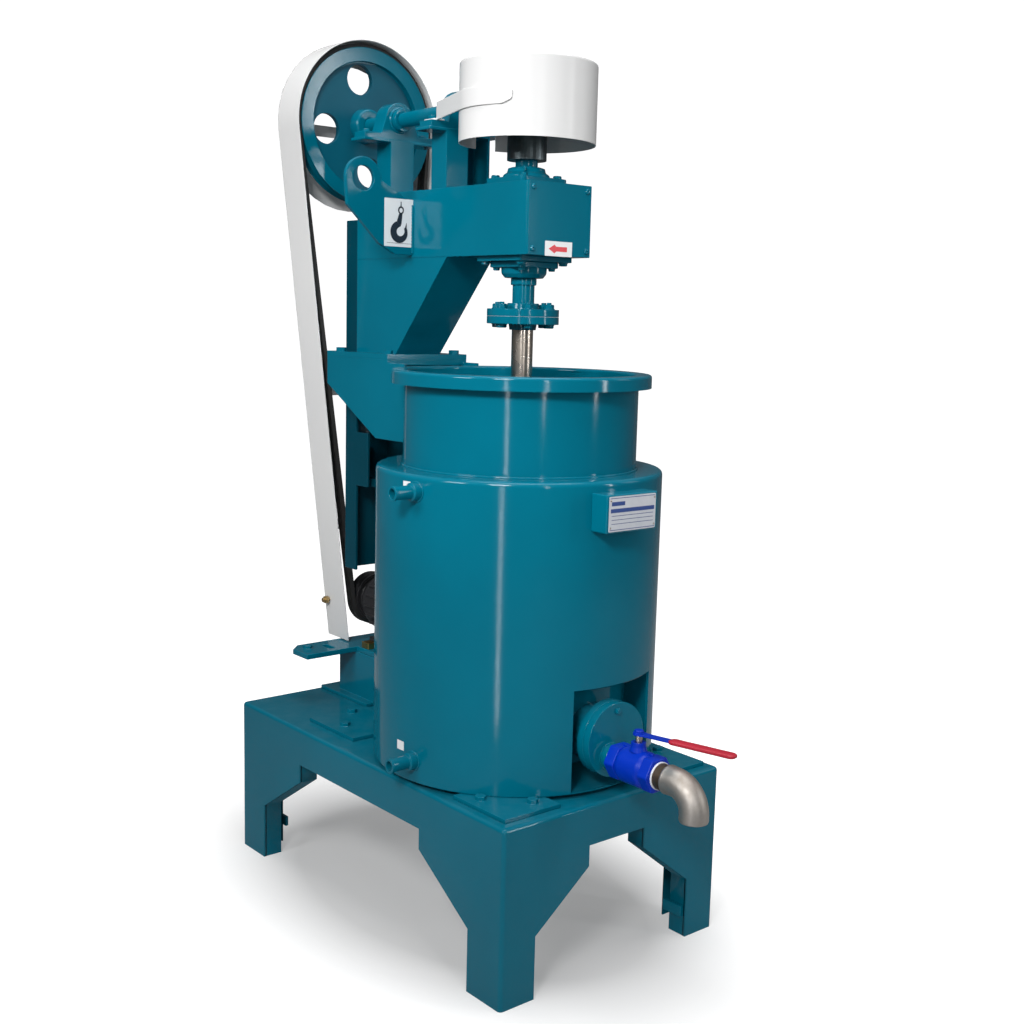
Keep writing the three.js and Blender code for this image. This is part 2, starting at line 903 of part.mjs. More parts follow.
function pipe(y) {
  return cut(
    barY(pipeRadius, y, ...drain, coarseFacets),
    barY(pipeBore, [y[0] - cutOverrun, y[1] + cutOverrun], ...drain, coarseFacets),
  );
}

function drainNipple() {
  return pipe([-valveStart - threadDepth, -coverBack - seatGap]);
}

function tailNipple() {
  return pipe([-elbowFace - threadDepth, -valveEnd + threadDepth]);
}

function ballShape(radius) {
  const sphere = new THREE.SphereGeometry(radius, ballFacets, ballFacets / 2);
  sphere.rotateX(Math.PI / 2);
  sphere.translate(drainX, -valveMiddle, drainHeight);
  return toManifold(sphere);
}

function valveBody() {
  const frontEnd = [-valveEnd, -valveEnd + valveHexLength];
  const rearEnd = [-valveStart - valveHexLength, -valveStart];
  const barrel = barY(
    valveBarrelRadius,
    [-valveEnd + valveHexLength / 2, -valveStart - valveHexLength / 2],
    ...drain,
  );
  const boss = barZ(
    stemBossRadius,
    [drainHeight, drainHeight + stemBossHeight],
    drainX,
    -valveMiddle,
    coarseFacets,
  );
  const frontOpen = -valveEnd - cutOverrun;
  const rearOpen = -valveStart + cutOverrun;
  const way = barY(pipeBore, [frontOpen, rearOpen], ...drain, coarseFacets);
  const rearSocket = barY(socketRadius, [-valveStart - socketDepth, rearOpen], ...drain, coarseFacets);
  const frontSocket = barY(socketRadius, [frontOpen, -valveEnd + socketDepth], ...drain, coarseFacets);
  const stemHole = barZ(
    (stemRadius + runningGap) / Math.cos(Math.PI / coarseFacets),
    [drainHeight, drainHeight + stemBossHeight + cutOverrun],
    drainX,
    -valveMiddle,
    coarseFacets,
  );
  const hexagons = [frontEnd, rearEnd].map((y) => hexY(valveHexFlats, y, ...drain));
  const solid = join(barrel, boss, ...hexagons);
  return cut(solid, ballShape(ballRadius + ballRoom), way, rearSocket, frontSocket, stemHole);
}

function valveBall() {
  const bore = barY(pipeBore, about(0, 2 * ballRadius + cutOverrun), 0, drainHeight, coarseFacets)
    .rotate([0, 0, leverRestAngle])
    .translate([drainX, -valveMiddle, 0]);
  const stem = barZ(
    stemRadius,
    [drainHeight + pipeBore + pipeWall / 2, drainHeight + leverHeight - leverThickness / 2 - seatGap],
    drainX,
    -valveMiddle,
    coarseFacets,
  );
  return join(cut(ballShape(ballRadius - seatGap), bore), stem);
}

// Places along the lever are distances from the stem and heights over the pipe's axis
function alongLever(solid) {
  return solid.rotate([0, 0, leverRestAngle - 90]).translate([drainX, -valveMiddle, drainHeight]);
}

function valveLever() {
  const z = about(leverHeight, leverThickness);
  const hub = barZ(leverHubRadius, z, 0, 0, coarseFacets);
  const bar = block([0, leverLength], about(0, leverWidth), z);
  const nut = hexZ(bolt16Head, [leverHeight, z[1] + bolt12Height], 0, 0);
  return alongLever(join(hub, bar, nut));
}

function leverGrip() {
  const half = gripWidth / 2;
  const tail = leverLength - gripLength;
  const outline = shapeOf([
    ...arcPoints([tail + half, 0], half, 90, 270, smallFacets / 2),
    ...arcPoints([leverLength, 0], half, -90, 90, smallFacets / 2),
  ]);
  const slot = block(
    [tail - cutOverrun, leverLength + seatGap],
    about(0, leverWidth + 2 * seatGap),
    about(leverHeight, leverThickness + 2 * seatGap),
  );
  return alongLever(cut(plateXY(outline, about(leverHeight, gripThickness)), slot));
}

// A quarter of a ring tube, which turns the drain from forward to downward
function quarterBend(tubeRadius) {
  const centre = new THREE.Vector3(drainX, -elbowFace - elbowBandLength, drainHeight - elbowRadius);
  const ring = new THREE.TorusGeometry(elbowRadius, tubeRadius, coarseFacets, mediumFacets);
  ring.rotateY(Math.PI / 2);
  ring.translate(centre.x, centre.y, centre.z);
  const reach = elbowRadius + tubeRadius + cutOverrun;
  return toManifold(ring).intersect(block(
    about(centre.x, 2 * reach),
    [centre.y - reach, centre.y],
    [centre.z, centre.z + reach],
  ));
}

function elbow() {
  const bendStart = -elbowFace - elbowBandLength;
  const dropY = bendStart - elbowRadius;
  const dropTop = drainHeight - elbowRadius;
  const dropEnd = dropTop - elbowDrop;
  const outer = quarterBend(pipeRadius + pipeWall / 2);
  const entryBand = barY(elbowBandRadius, [bendStart, -elbowFace], ...drain, coarseFacets);
  const exitBand = barZ(elbowBandRadius, [dropEnd, dropTop], drainX, dropY, coarseFacets);
  const socket = barY(
    socketRadius,
    [-elbowFace - socketDepth, -elbowFace + cutOverrun],
    ...drain,
    coarseFacets,
  );
  const entryWay = barY(pipeBore, [bendStart - seatGap, -elbowFace], ...drain, coarseFacets);
  const exitWay = barZ(pipeBore, [dropEnd - cutOverrun, dropTop + seatGap], drainX, dropY, coarseFacets);
  return cut(join(outer, entryBand, exitBand), quarterBend(pipeBore), socket, entryWay, exitWay);
}

// Water nozzle: a pipe with a welded collar, cut to the jacket's curve
function waterNozzle(height) {
  const inside = -jacketRadius / 2;
  const tube = barX(nozzleRadius, [-nozzleMouth, inside], nozzleY, height, coarseFacets);
  const collar = barX(
    nozzleCollarRadius,
    [-jacketRadius - nozzleCollarLength, inside],
    nozzleY,
    height,
    coarseFacets,
  );
  const bore = barX(
    nozzleRadius - nozzleWall,
    [-nozzleMouth - cutOverrun, inside],
    nozzleY,
    height,
    smallFacets,
  );
  const room = barZ(jacketRadius + seatGap, about(height, 2 * jacketRadius), 0, 0, fineFacets);
  return cut(join(tube, collar), room, bore);
}

function nameBox() {
  const plate = block(
    about(nameBoxX, nameBoxWidth),
    [-nameBoxFace, -vesselRadius],
    [nameBoxBase, nameBoxBase + nameBoxHeight],
  );
  return cut(plate, barZ(jacketRadius + seatGap, [tankFoot, jacketTop], 0, 0, fineFacets));
}

// Head: bracket, column, arm

const flangeBottom = columnFlangeTop - columnFlangeThickness;
const bracketTop = flangeBottom;
const columnSides = about(columnX, columnWidth);
const flangeSides = about(columnX, columnFlangeWidth);
const columnBolts = [-1, 1].flatMap((side) => [columnBoltFront, columnBoltRear].map(
  (y) => [columnX + side * columnBoltX, y],
));

// Room for the post that stands behind the column
function postNotch(z) {
  return block(
    [columnSides[0] - seatGap, columnSides[1] + seatGap],
    [columnRear, columnFlangeRear + cutOverrun],
    z,
  );
}

function bracket() {
  const topPlate = block(
    flangeSides,
    [columnFlangeFront, columnFlangeRear],
    [bracketTop - columnFlangeThickness, bracketTop],
  );
  const gussetOutline = shapeOf([
    [0, bracketBottom],
    [bracketToe, bracketBottom],
    [columnFlangeRear, bracketTailHeight],
    [columnFlangeRear, bracketTop - columnFlangeThickness / 2],
    [0, bracketTop - columnFlangeThickness / 2],
  ]);
  const gussets = [
    [flangeSides[0], flangeSides[0] + bracketPlate],
    [flangeSides[1] - bracketPlate, flangeSides[1]],
  ].map((x) => plateYZ(gussetOutline, x));
  const bottomPlate = block(flangeSides, [0, bracketToe], [bracketBottom, bracketBottom + bracketPlate]);
  const stub = block(
    about(columnX, bracketStubWidth),
    [0, vesselRadius + bracketStubReach],
    [jacketTop + seatGap, bracketBottom + bracketPlate / 2],
  );
  const neck = barZ(vesselRadius + seatGap, [jacketTop, rimTop + cutOverrun], 0, 0, fineFacets);
  const rimRoom = barZ(
    rimRadius + seatGap,
    [rimTop - rimDepth - seatGap, bracketTop + cutOverrun],
    0,
    0,
    fineFacets,
  );
  const notch = postNotch([bracketTop - columnFlangeThickness - cutOverrun, bracketTop + cutOverrun]);
  const nuts = columnBolts.map(([x, y]) => boltDown(
    bolt16Head,
    bolt16Height,
    x,
    y,
    bracketTop - columnFlangeThickness,
  ));
  return join(cut(join(topPlate, ...gussets, bottomPlate, stub), neck, rimRoom, notch), ...nuts);
}

// Column: flange, two side plates that widen under the arm, slanting front and rear wall
function column() {
  const z = [columnFlangeTop, armBottom];
  const sunk = columnFlangeTop - columnFlangeThickness / 2;
  const run = columnFront - braceFront;
  const rise = armBottom - columnFlangeTop;
  const slantWall = columnWall * Math.hypot(run, rise) / rise;
  const outline = (wall, rear) => shapeOf([
    [columnFront + run * (columnFlangeTop - sunk) / rise + wall, sunk],
    [rear, sunk],
    [rear, z[1]],
    [braceFront + wall, z[1]],
  ]);
  const outside = plateYZ(outline(0, columnRear), columnSides);
  const inside = plateYZ(
    outline(slantWall, columnRear - columnWall),
    [columnSides[0] + columnWall, columnSides[1] - columnWall],
  );
  const flange = block(flangeSides, [columnFlangeFront, columnFlangeRear], [flangeBottom, columnFlangeTop]);
  const notch = postNotch([flangeBottom - cutOverrun, columnFlangeTop + cutOverrun]);
  const heads = columnBolts.map(([x, y]) => boltUp(bolt16Head, bolt16Height, x, y, columnFlangeTop));
  return join(cut(outside, inside), cut(flange, notch), ...heads);
}

// Arm: a box with an open front, lugs in its corners for the screws of the end cover
const coverScrews = [-1, 1].flatMap((side) => [armBottom + endCoverInset, armTop - endCoverInset].map(
  (z) => [side * (armWidth / 2 - endCoverInset), z],
));

function arm() {
  const outside = block(about(0, armWidth), [-armFront, columnRear], [armBottom, armTop]);
  const inside = block(
    about(0, armWidth - 2 * armWall),
    [-armFront - cutOverrun, columnRear - armWall],
    [armBottom + armWall, armTop - armWall],
  );
  const lugs = coverScrews.map(([x, z]) => block(
    about(x, coverLugSize),
    [-armFront, -armFront + coverLugDepth],
    about(z, coverLugSize),
  ).intersect(outside));
  const spindleHole = barZ(
    spindleHoleRadius,
    [armBottom - cutOverrun, armTop + cutOverrun],
    0,
    0,
    coarseFacets,
  );
  return cut(join(cut(outside, inside), ...lugs), spindleHole);
}

function endCover() {
  const face = -armFront - seatGap - endCoverThickness;
  const plate = block(about(0, armWidth), [face, -armFront - seatGap], [armBottom, armTop]);
  const heads = coverScrews.map(([x, z]) => barY(
    coverScrewHeadRadius,
    [face - bolt8Height, face + endCoverThickness / 2],
    x,
    z,
    smallFacets,
  ));
  return join(plate, ...heads);
}

// Lifting ear: a plate with a ring, welded on the side of the arm
function ear(side) {
  const root = armWidth / 2 + seatGap;
  const y = [earY, earY + earThickness];
  const outline = [
    [root, earFootHeight],
    [earElbowX, earFootHeight],
    [earNeckX, earNeckHeight],
    [earX + earRadius * earCornerShare, earCornerHeight],
    [earX + earRadius, earHeight],
    [earX - earRadius, earHeight],
    [root, earShoulderHeight],
  ];
  const web = plateXZ(shapeOf(outline.map(([x, z]) => [side * x, z])), y);
  const ring = barY(earRadius, y, side * earX, earHeight);
  const hole = barY(
    earHoleRadius,
    [y[0] - cutOverrun, y[1] + cutOverrun],
    side * earX,
    earHeight,
    coarseFacets,
  );
  return cut(join(web, ring), hole);
}

// Post behind the column: a channel open to the front, deeper below the bracket
function guardPost() {
  const front = columnRear + seatGap;
  const rear = front + postDepth;
  const outside = join(
    block(columnSides, [front, rear], [postBottom, postTop]),
    block(columnSides, [postWideFront, rear], [postWideBottom, bracketBottom - seatGap]),
  );
  const inside = block(
    [columnSides[0] + postPlate, columnSides[1] - postPlate],
    [postWideFront - cutOverrun, rear - postPlate],
    [postBottom - cutOverrun, postTop + cutOverrun],
  );
  const tie = block(
    about(columnSides[0] + postTieInset, postTieSize),
    [0, rear - postPlate / 2],
    about(postTieHeight, postTieSize),
  );
  const room = barZ(jacketRadius + seatGap, [tankFoot, jacketTop], 0, 0, fineFacets);
  return join(cut(outside, inside), cut(tie, room));
}

// Pedestals on the arm, and the pillow blocks on them

const pillowSeat = pedestalTop + pedestalPlate;
const pillowFootTop = pillowSeat + pillowFootThickness;
const rearPillowY = rearPedestalFront + pillowWidth / 2 + pillowSetback;
const frontPillowY = frontPedestalFront + frontPedestalDepth / 2;

function pedestal(width, front, depth) {
  const y = [front, front + depth];
  const outside = block(about(0, width), y, [armTop, pedestalTop]);
  const inside = block(
    about(0, width - 2 * pedestalWall),
    [y[0] + pedestalWall, y[1] - pedestalWall],
    [armTop - cutOverrun, pedestalTop - pedestalWall],
  );
  const plate = block(about(0, pedestalPlateLength), y, [pedestalTop, pillowSeat]);
  return join(cut(outside, inside), plate);
}

// The right half of the front pedestal is left open to the front
function frontPedestal() {
  const whole = pedestal(frontPedestalWidth, frontPedestalFront, frontPedestalDepth);
  const doorway = block(
    [0, frontPedestalWidth / 2 - pedestalWall],
    [frontPedestalFront - cutOverrun, frontPedestalFront + pedestalPocket],
    [armTop - cutOverrun, pedestalTop - pedestalWall],
  );
  return cut(whole, doorway);
}

// Pillow block; a shank lets one bolt hold the strap of the gear guard as well
function pillowBlock(y, strapBolt) {
  const shoulder = pillowHousingRadius + pillowFootThickness;
  const body = plateXZ(
    shapeOf([
      [-shoulder, pillowFootTop - pillowFootThickness / 2],
      [shoulder, pillowFootTop - pillowFootThickness / 2],
      [pillowHousingRadius, shaftHeight],
      [-pillowHousingRadius, shaftHeight],
    ]),
    about(y, pillowWidth),
  );
  const foot = block(about(0, pillowFootLength), about(y, pillowWidth), [pillowSeat, pillowFootTop]);
  const housing = barY(pillowHousingRadius, about(y, pillowWidth), 0, shaftHeight);
  const insert = barY(pillowInsertRadius, about(y, pillowWidth + 2 * pillowInsertProud), 0, shaftHeight);
  const bore = barY(
    shaftRadius + runningGap,
    about(y, pillowWidth + 2 * pillowInsertProud + cutOverrun),
    0,
    shaftHeight,
  );
  const raised = pillowFootTop + (strapBolt ? strapThickness + 2 * seatGap : 0);
  const shank = barZ(shankRadius, [pillowSeat, raised + bolt12Height], -pillowBoltX, y, smallFacets);
  return join(
    cut(join(body, foot, housing, insert), bore),
    shank,
    boltUp(bolt12Head, bolt12Height, -pillowBoltX, y, raised),
    boltUp(bolt12Head, bolt12Height, pillowBoltX, y, pillowFootTop),
  );
}

// Bevel gears: each wheel is made about the -Z axis with the tip of its cones at the origin.
// A tooth is centred on +Y. The gear keeps this pose and the pinion's axis is turned to +Y,
// so that its odd number of teeth brings a gap to the gear's tooth.

const coneDistance = Math.hypot(gearTeeth, pinionTeeth) * gearModule / 2;
const gearCone = Math.atan2(gearTeeth, pinionTeeth);
const pinionCone = Math.PI / 2 - gearCone;
const addendum = gearModule * addendumShare;
const dedendum = gearModule * dedendumShare;
const innerDistance = coneDistance - faceLength;

function onCone(distance, coneAngle) {
  return [distance * Math.sin(coneAngle), -distance * Math.cos(coneAngle)];
}

// A wedge with eight corners; its flanks and its tip run to the tip of the cones
function bevelTooth(coneAngle, turn) {
  const slope = Math.tan(radians(flankAngle));
  const halfThickness = Math.PI * gearModule * toothThicknessShare / 2;
  const levels = [-dedendum - toothSink, addendum].map((height) => ({
    cone: coneAngle + Math.atan(height / coneDistance),
    half: halfThickness - height * slope,
  }));
  const corners = [innerDistance, coneDistance].flatMap((distance) => levels.flatMap(({ cone, half }) => {
    const [radius, height] = onCone(distance, cone);
    const halfAngle = half / (coneDistance * Math.sin(cone));
    return [-halfAngle, halfAngle].map((offset) => [
      radius * Math.sin(turn + offset),
      radius * Math.cos(turn + offset),
      height,
    ]);
  }));
  const sides = [[0, 2, 3, 1], [4, 5, 7, 6], [0, 1, 5, 4], [2, 6, 7, 3], [0, 4, 6, 2], [1, 3, 7, 5]];
  const faces = sides.flatMap(([a, b, c, d]) => [a, b, c, a, c, d]);
  return closedMesh(corners, faces);
}

function bevelWheel(teeth, coneAngle, bore, profile) {
  const blank = revolve(profile, teeth).rotate([0, 0, 180 / teeth]);
  const ring = Array.from({ length: teeth }, (_, i) => bevelTooth(coneAngle, 2 * Math.PI * i / teeth));
  const way = barZ(bore, [-shaftHeight, 0], 0, 0);
  return cut(join(blank, ...ring), way);
}

function bevelGear() {
  const root = gearCone - Math.atan(dedendum / coneDistance);
  const [innerRadius, innerHeight] = onCone(innerDistance, root);
  const [outerRadius, outerHeight] = onCone(coneDistance, root);
  const backRadius = outerRadius - gearRimThickness * Math.cos(root);
  const backHeight = outerHeight - gearRimThickness * Math.sin(root);
  const hubEnd = gearHubBottom - shaftHeight;
  return bevelWheel(gearTeeth, gearCone, spindleRadius + seatGap, [
    [0, innerHeight],
    [innerRadius, innerHeight],
    [outerRadius, outerHeight],
    [backRadius, backHeight],
    [backRadius - gearRimThickness, backHeight],
    [backRadius - gearRimThickness, innerHeight - gearWebThickness],
    [gearHubRadius, innerHeight - gearWebThickness],
    [gearHubRadius, hubEnd],
    [0, hubEnd],
  ]).translate([0, 0, shaftHeight]);
}

function bevelPinion() {
  const root = pinionCone - Math.atan(dedendum / coneDistance);
  const [innerRadius, innerHeight] = onCone(innerDistance, root);
  const [outerRadius, outerHeight] = onCone(coneDistance, root);
  return bevelWheel(pinionTeeth, pinionCone, shaftRadius + seatGap, [
    [0, innerHeight],
    [innerRadius, innerHeight],
    [outerRadius, outerHeight],
    [pinionHubRadius, outerHeight],
    [pinionHubRadius, outerHeight - pinionHubLength],
    [0, outerHeight - pinionHubLength],
  ]).rotate([90, 0, 0]).translate([0, 0, shaftHeight]);
}

// Round guard over the gears, open below, with a slot for the drive shaft
function gearGuard() {
  const outside = barZ(gearGuardRadius, [gearGuardBottom, gearGuardTop], 0, 0, fineFacets);
  const inside = barZ(
    gearGuardRadius - gearGuardWall,
    [gearGuardBottom - cutOverrun, gearGuardTop - gearGuardWall],
    0,
    0,
    fineFacets,
  );
  const y = [0, gearGuardRadius + cutOverrun];
  const slot = join(
    barY(gearGuardSlot, y, 0, shaftHeight, coarseFacets),
    block(about(0, 2 * gearGuardSlot), y, [gearGuardBottom - cutOverrun, shaftHeight]),
  );
  return cut(outside, inside, slot);
}

// Strap round the guard's left side; it leaves on a tangent and ends on the pillow block's foot
function gearGuardStrap() {
  const base = pillowFootTop + seatGap;
  const z = [base, base + strapHeight];
  const inner = gearGuardRadius + seatGap;
  const outer = inner + strapThickness;
  const along = radians(strapLeaveAngle);
  const travel = [Math.sin(along), -Math.cos(along)];
  const leave = (radius, length) => [
    radius * Math.cos(along) + travel[0] * length,
    radius * Math.sin(along) + travel[1] * length,
  ];
  const straight = (frontPillowY - strapBoltMargin - outer * Math.sin(along)) / travel[1];
  const path = shapeOf([
    ...arcPoints([0, 0], outer, strapEndAngle, strapLeaveAngle, coarseFacets / 2),
    leave(outer, straight),
    leave(inner, straight),
    ...arcPoints([0, 0], inner - strapThickness / 2, strapLeaveAngle, strapEndAngle, coarseFacets / 2),
  ]);
  const band = cut(plateXY(path, z), barZ(inner, [z[0] - cutOverrun, z[1] + cutOverrun], 0, 0, fineFacets));
  const tab = block(
    [leave(outer, straight)[0] - strapThickness, -pillowBoltX + strapBoltMargin],
    [frontPillowY - strapBoltMargin - strapThickness, frontPillowY + strapBoltMargin],
    [z[0], z[0] + strapThickness],
  );
  const hole = barZ(
    shankRadius + seatGap,
    [z[0] - cutOverrun, z[1]],
    -pillowBoltX,
    frontPillowY,
    coarseFacets,
  );
  return cut(join(band, tab), hole);
}

// Spindle bearings, spindle, couplings and stirrer

function squareBolts(spacing) {
  const half = spacing / 2;
  return [[-half, -half], [half, -half], [half, half], [-half, half]];
}

function upperBearing() {
  const flangeTop = armTop + bearingFlange;
  const flange = block(about(0, bearingSquare), about(0, bearingSquare), [armTop, flangeTop]);
  const boss = barZ(bearingHousingRadius, [armTop, armTop + upperBearingHeight], 0, 0);
  const bore = barZ(
    spindleRadius + runningGap,
    [armTop - cutOverrun, armTop + upperBearingHeight + cutOverrun],
    0,
    0,
  );
  const heads = squareBolts(bearingBoltSpacing).map(
    ([x, y]) => boltUp(bolt12Head, bolt12Height, x, y, flangeTop),
  );
  return join(cut(join(flange, boss), bore), ...heads);
}

const lowerPlateBottom = armBottom - lowerPlateThickness;
const lowerBearingBottom = lowerPlateBottom - lowerBearingHeight;

function lowerBearing() {
  const plate = block(about(0, lowerPlateSquare), about(0, lowerPlateSquare), [lowerPlateBottom, armBottom]);
  const housing = barZ(bearingHousingRadius, [lowerBearingBottom, armBottom], 0, 0);
  const bore = barZ(
    spindleRadius + runningGap,
    [lowerBearingBottom - cutOverrun, armBottom + cutOverrun],
    0,
    0,
  );
  const heads = squareBolts(lowerPlateBoltSpacing).map(
    ([x, y]) => boltDown(bolt12Head, bolt12Height, x, y, lowerPlateBottom),
  );
  return join(cut(join(plate, housing), bore), ...heads);
}

function spindle() {
  const collarTop = lowerBearingBottom - runningGap;
  const gearTop = shaftHeight + onCone(innerDistance, gearCone - Math.atan(dedendum / coneDistance))[1];
  const nutBase = gearTop + seatGap;
  return join(
    barZ(spindleRadius, [couplingFace + seatGap, nutBase + spindleNutHeight + spindleTail], 0, 0),
    barZ(spindleCollarRadius, [collarTop - spindleCollarLength, collarTop], 0, 0),
    barZ(spindleNutRadius, [nutBase, nutBase + spindleNutHeight], 0, 0, smallFacets),
  );
}

function ringPlaces(count, radius, start = 0) {
  return Array.from({ length: count }, (_, i) => {
    const angle = radians(start) + 2 * Math.PI * i / count;
    return [radius * Math.cos(angle), radius * Math.sin(angle)];
  });
}

function upperCoupling() {
  const z = [couplingFace + seatGap, couplingFace + couplingThickness];
  const disc = barZ(couplingRadius, z, 0, 0, fineFacets);
  const hubTop = z[1] + couplingHubLength;
  const hub = barZ(couplingHubRadius, [z[0], hubTop], 0, 0);
  const bore = barZ(spindleRadius + seatGap, [z[0] - cutOverrun, hubTop + cutOverrun], 0, 0);
  const heads = ringPlaces(couplingBolts, couplingBoltCircle).map(
    ([x, y]) => boltUp(bolt12Head, bolt12Height, x, y, z[1]),
  );
  return join(cut(join(disc, hub), bore), ...heads);
}

function armHeights() {
  return Array.from({ length: armLevels }, (_, i) => lowestArm + i * armPitch);
}

// The rods lie along X and Y in turn
function crossRod(level, radius, x) {
  const rod = barX(radius, x, 0, armHeights()[level], smallFacets);
  return level % 2 === 0 ? rod : rod.rotate([0, 0, 90]);
}

function stirrerShaft() {
  const z = [couplingFace - couplingThickness, couplingFace];
  const disc = barZ(couplingRadius, z, 0, 0, fineFacets);
  const hub = barZ(lowerHubRadius, [z[0] - lowerHubLength, z[1]], 0, 0);
  const bar = barZ(stirrerRadius, [stirrerBottom, z[1]], 0, 0);
  const nuts = ringPlaces(couplingBolts, couplingBoltCircle).map(
    ([x, y]) => boltDown(bolt12Head, bolt12Height, x, y, z[0]),
  );
  const through = about(0, 2 * stirrerRadius + cutOverrun);
  const holes = armHeights().map((_, level) => crossRod(level, rodRadius + seatGap, through));
  return cut(join(disc, hub, bar, ...nuts), ...holes);
}

function stirrerArm(level) {
  return crossRod(level, rodRadius, about(0, 2 * armReach));
}

// Drive shaft with a stop collar beside each pillow block
function driveShaft() {
  const stop = pillowWidth / 2 + pillowInsertProud + runningGap;
  return join(
    barY(shaftRadius, [shaftFront, shaftRear], 0, shaftHeight),
    barY(collarRadius, [frontPillowY + stop, frontPillowY + stop + collarLength], 0, shaftHeight),
    barY(collarRadius, [rearPillowY - stop - collarLength, rearPillowY - stop], 0, shaftHeight),
  );
}

// Grooved pulleys

// The rim's outline with its V grooves, as [radius, distance along the axis]
function groovedRim(radius) {
  const tilt = grooveDepth * Math.tan(radians(grooveFlankAngle));
  const grooves = Array.from({ length: grooveCount }, (_, i) => {
    const centre = pulleyFace + grooveEdge + i * groovePitch;
    return [
      [radius, centre - grooveTopWidth / 2],
      [radius - grooveDepth, centre - grooveTopWidth / 2 + tilt],
      [radius - grooveDepth, centre + grooveTopWidth / 2 - tilt],
      [radius, centre + grooveTopWidth / 2],
    ];
  });
  return [[radius, pulleyFace], ...grooves.flat(), [radius, pulleyRear]];
}

function drivePulley() {
  const bore = shaftRadius + seatGap;
  const webFront = pulleyFace + pulleyWebInset;
  const webRear = webFront + pulleyWebThickness;
  const rimInside = bigPulleyRadius - pulleyRimThickness;
  const wheel = revolveY([
    ...groovedRim(bigPulleyRadius),
    [rimInside, pulleyRear],
    [rimInside, webRear],
    [pulleyHubRadius, webRear],
    [pulleyHubRadius, pulleyRear],
    [bore, pulleyRear],
    [bore, webFront - pulleyHubProud],
    [pulleyHubRadius, webFront - pulleyHubProud],
    [pulleyHubRadius, webFront],
    [pulleyRingRadius, webFront],
    [pulleyRingRadius, pulleyFace + pulleyRingStep],
    [rimInside, pulleyFace + pulleyRingStep],
    [rimInside, pulleyFace],
  ], 0, shaftHeight);
  const holes = ringPlaces(pulleyHoles, pulleyHoleCircle, pulleyHoleAngle).map(([x, z]) => barY(
    pulleyHoleRadius,
    [pulleyFace, pulleyRear],
    x,
    shaftHeight + z,
    coarseFacets,
  ));
  return cut(wheel, ...holes);
}

function motorPulley() {
  const bore = motorShaftRadius + seatGap;
  const face = pulleyFace - motorPulleyBossProud;
  return revolveY([
    ...groovedRim(motorPulleyRadius),
    [bore, pulleyRear],
    [bore, face],
    [motorPulleyBoss, face],
    [motorPulleyBoss, pulleyFace],
  ], motorX, motorAxisHeight, mediumFacets);
}

// Directions, as angles from +X in the XZ plane, to where a straight run touches both wheels
function touchAngles(bigRadius, smallRadius) {
  const drop = shaftHeight - motorAxisHeight;
  const down = Math.atan2(-drop, motorX);
  const spread = Math.acos((bigRadius - smallRadius) / Math.hypot(motorX, drop));
  return [down + spread, down - spread + 2 * Math.PI].map(THREE.MathUtils.radToDeg);
}

// A V-belt: a trapezoid carried round both pulleys, its back a little proud of the grooves
function vBelt(groove) {
  const centreY = pulleyFace + grooveEdge + groove * groovePitch;
  const slope = Math.tan(radians(grooveFlankAngle));
  const sideGap = beltFlankGap / Math.cos(radians(grooveFlankAngle));
  const halfAt = (outward) => grooveTopWidth / 2 + outward * slope - sideGap;
  const back = beltProud;
  const belly = beltProud - beltHeight;
  const section = [
    [back, -halfAt(back)],
    [back, halfAt(back)],
    [belly, halfAt(belly)],
    [belly, -halfAt(belly)],
  ];
  const [right, left] = touchAngles(bigPulleyRadius, motorPulleyRadius);
  const ringAt = (x, z, radius, angle) => section.map(([outward, across]) => [
    x + (radius + outward) * Math.cos(angle),
    centreY + across,
    z + (radius + outward) * Math.sin(angle),
  ]);
  const round = (x, z, radius, from, to, steps) => Array.from(
    { length: steps + 1 },
    (_, i) => ringAt(x, z, radius, radians(from + (to - from) * i / steps)),
  );
  const rings = [
    ...round(0, shaftHeight, bigPulleyRadius, right, left, coarseFacets),
    ...round(motorX, motorAxisHeight, motorPulleyRadius, left, right + fullTurn, smallFacets),
  ];
  const sides = section.length;
  const faces = rings.flatMap((_, i) => section.flatMap((__, j) => {
    const next = (i + 1) % rings.length;
    const beside = (j + 1) % sides;
    const [a, b, c, d] = [i * sides + j, i * sides + beside, next * sides + beside, next * sides + j];
    return [a, b, c, a, c, d];
  }));
  return closedMesh(rings.flat(), faces);
}

// Belt guard

// Everything inside a run round both wheels, cut off level below the motor
function guardRegion(upperRadius, lowerRadius, bottom, y) {
  const [right, left] = touchAngles(upperRadius, lowerRadius);
  const edgeAt = (angle) => {
    const turn = radians(angle);
    return [(shaftHeight * Math.sin(turn) + upperRadius - bottom * Math.sin(turn)) / Math.cos(turn), bottom];
  };
  const crown = arcPoints([0, shaftHeight], upperRadius, right, left, mediumFacets);
  return plateXZ(shapeOf([edgeAt(right), ...crown, edgeAt(left)]), y);
}

function guardBand() {
  const y = [guardFront, guardRear - guardWall - seatGap];
  const outside = guardRegion(guardUpperRadius, guardLowerRadius, guardBottom, y);
  const inside = guardRegion(
    guardUpperRadius - guardWall,
    guardLowerRadius - guardWall,
    guardBottom - cutOverrun,
    [y[0] - cutOverrun, y[1] + cutOverrun],
  );
  const studX = motorX - guardLowerRadius;
  const stud = barX(
    guardStudRadius,
    [studX - guardStudLength, studX + guardWall / 2],
    guardRear - guardStudInset,
    guardStudHeight,
    smallFacets,
  );
  return join(cut(outside, inside), stud);
}

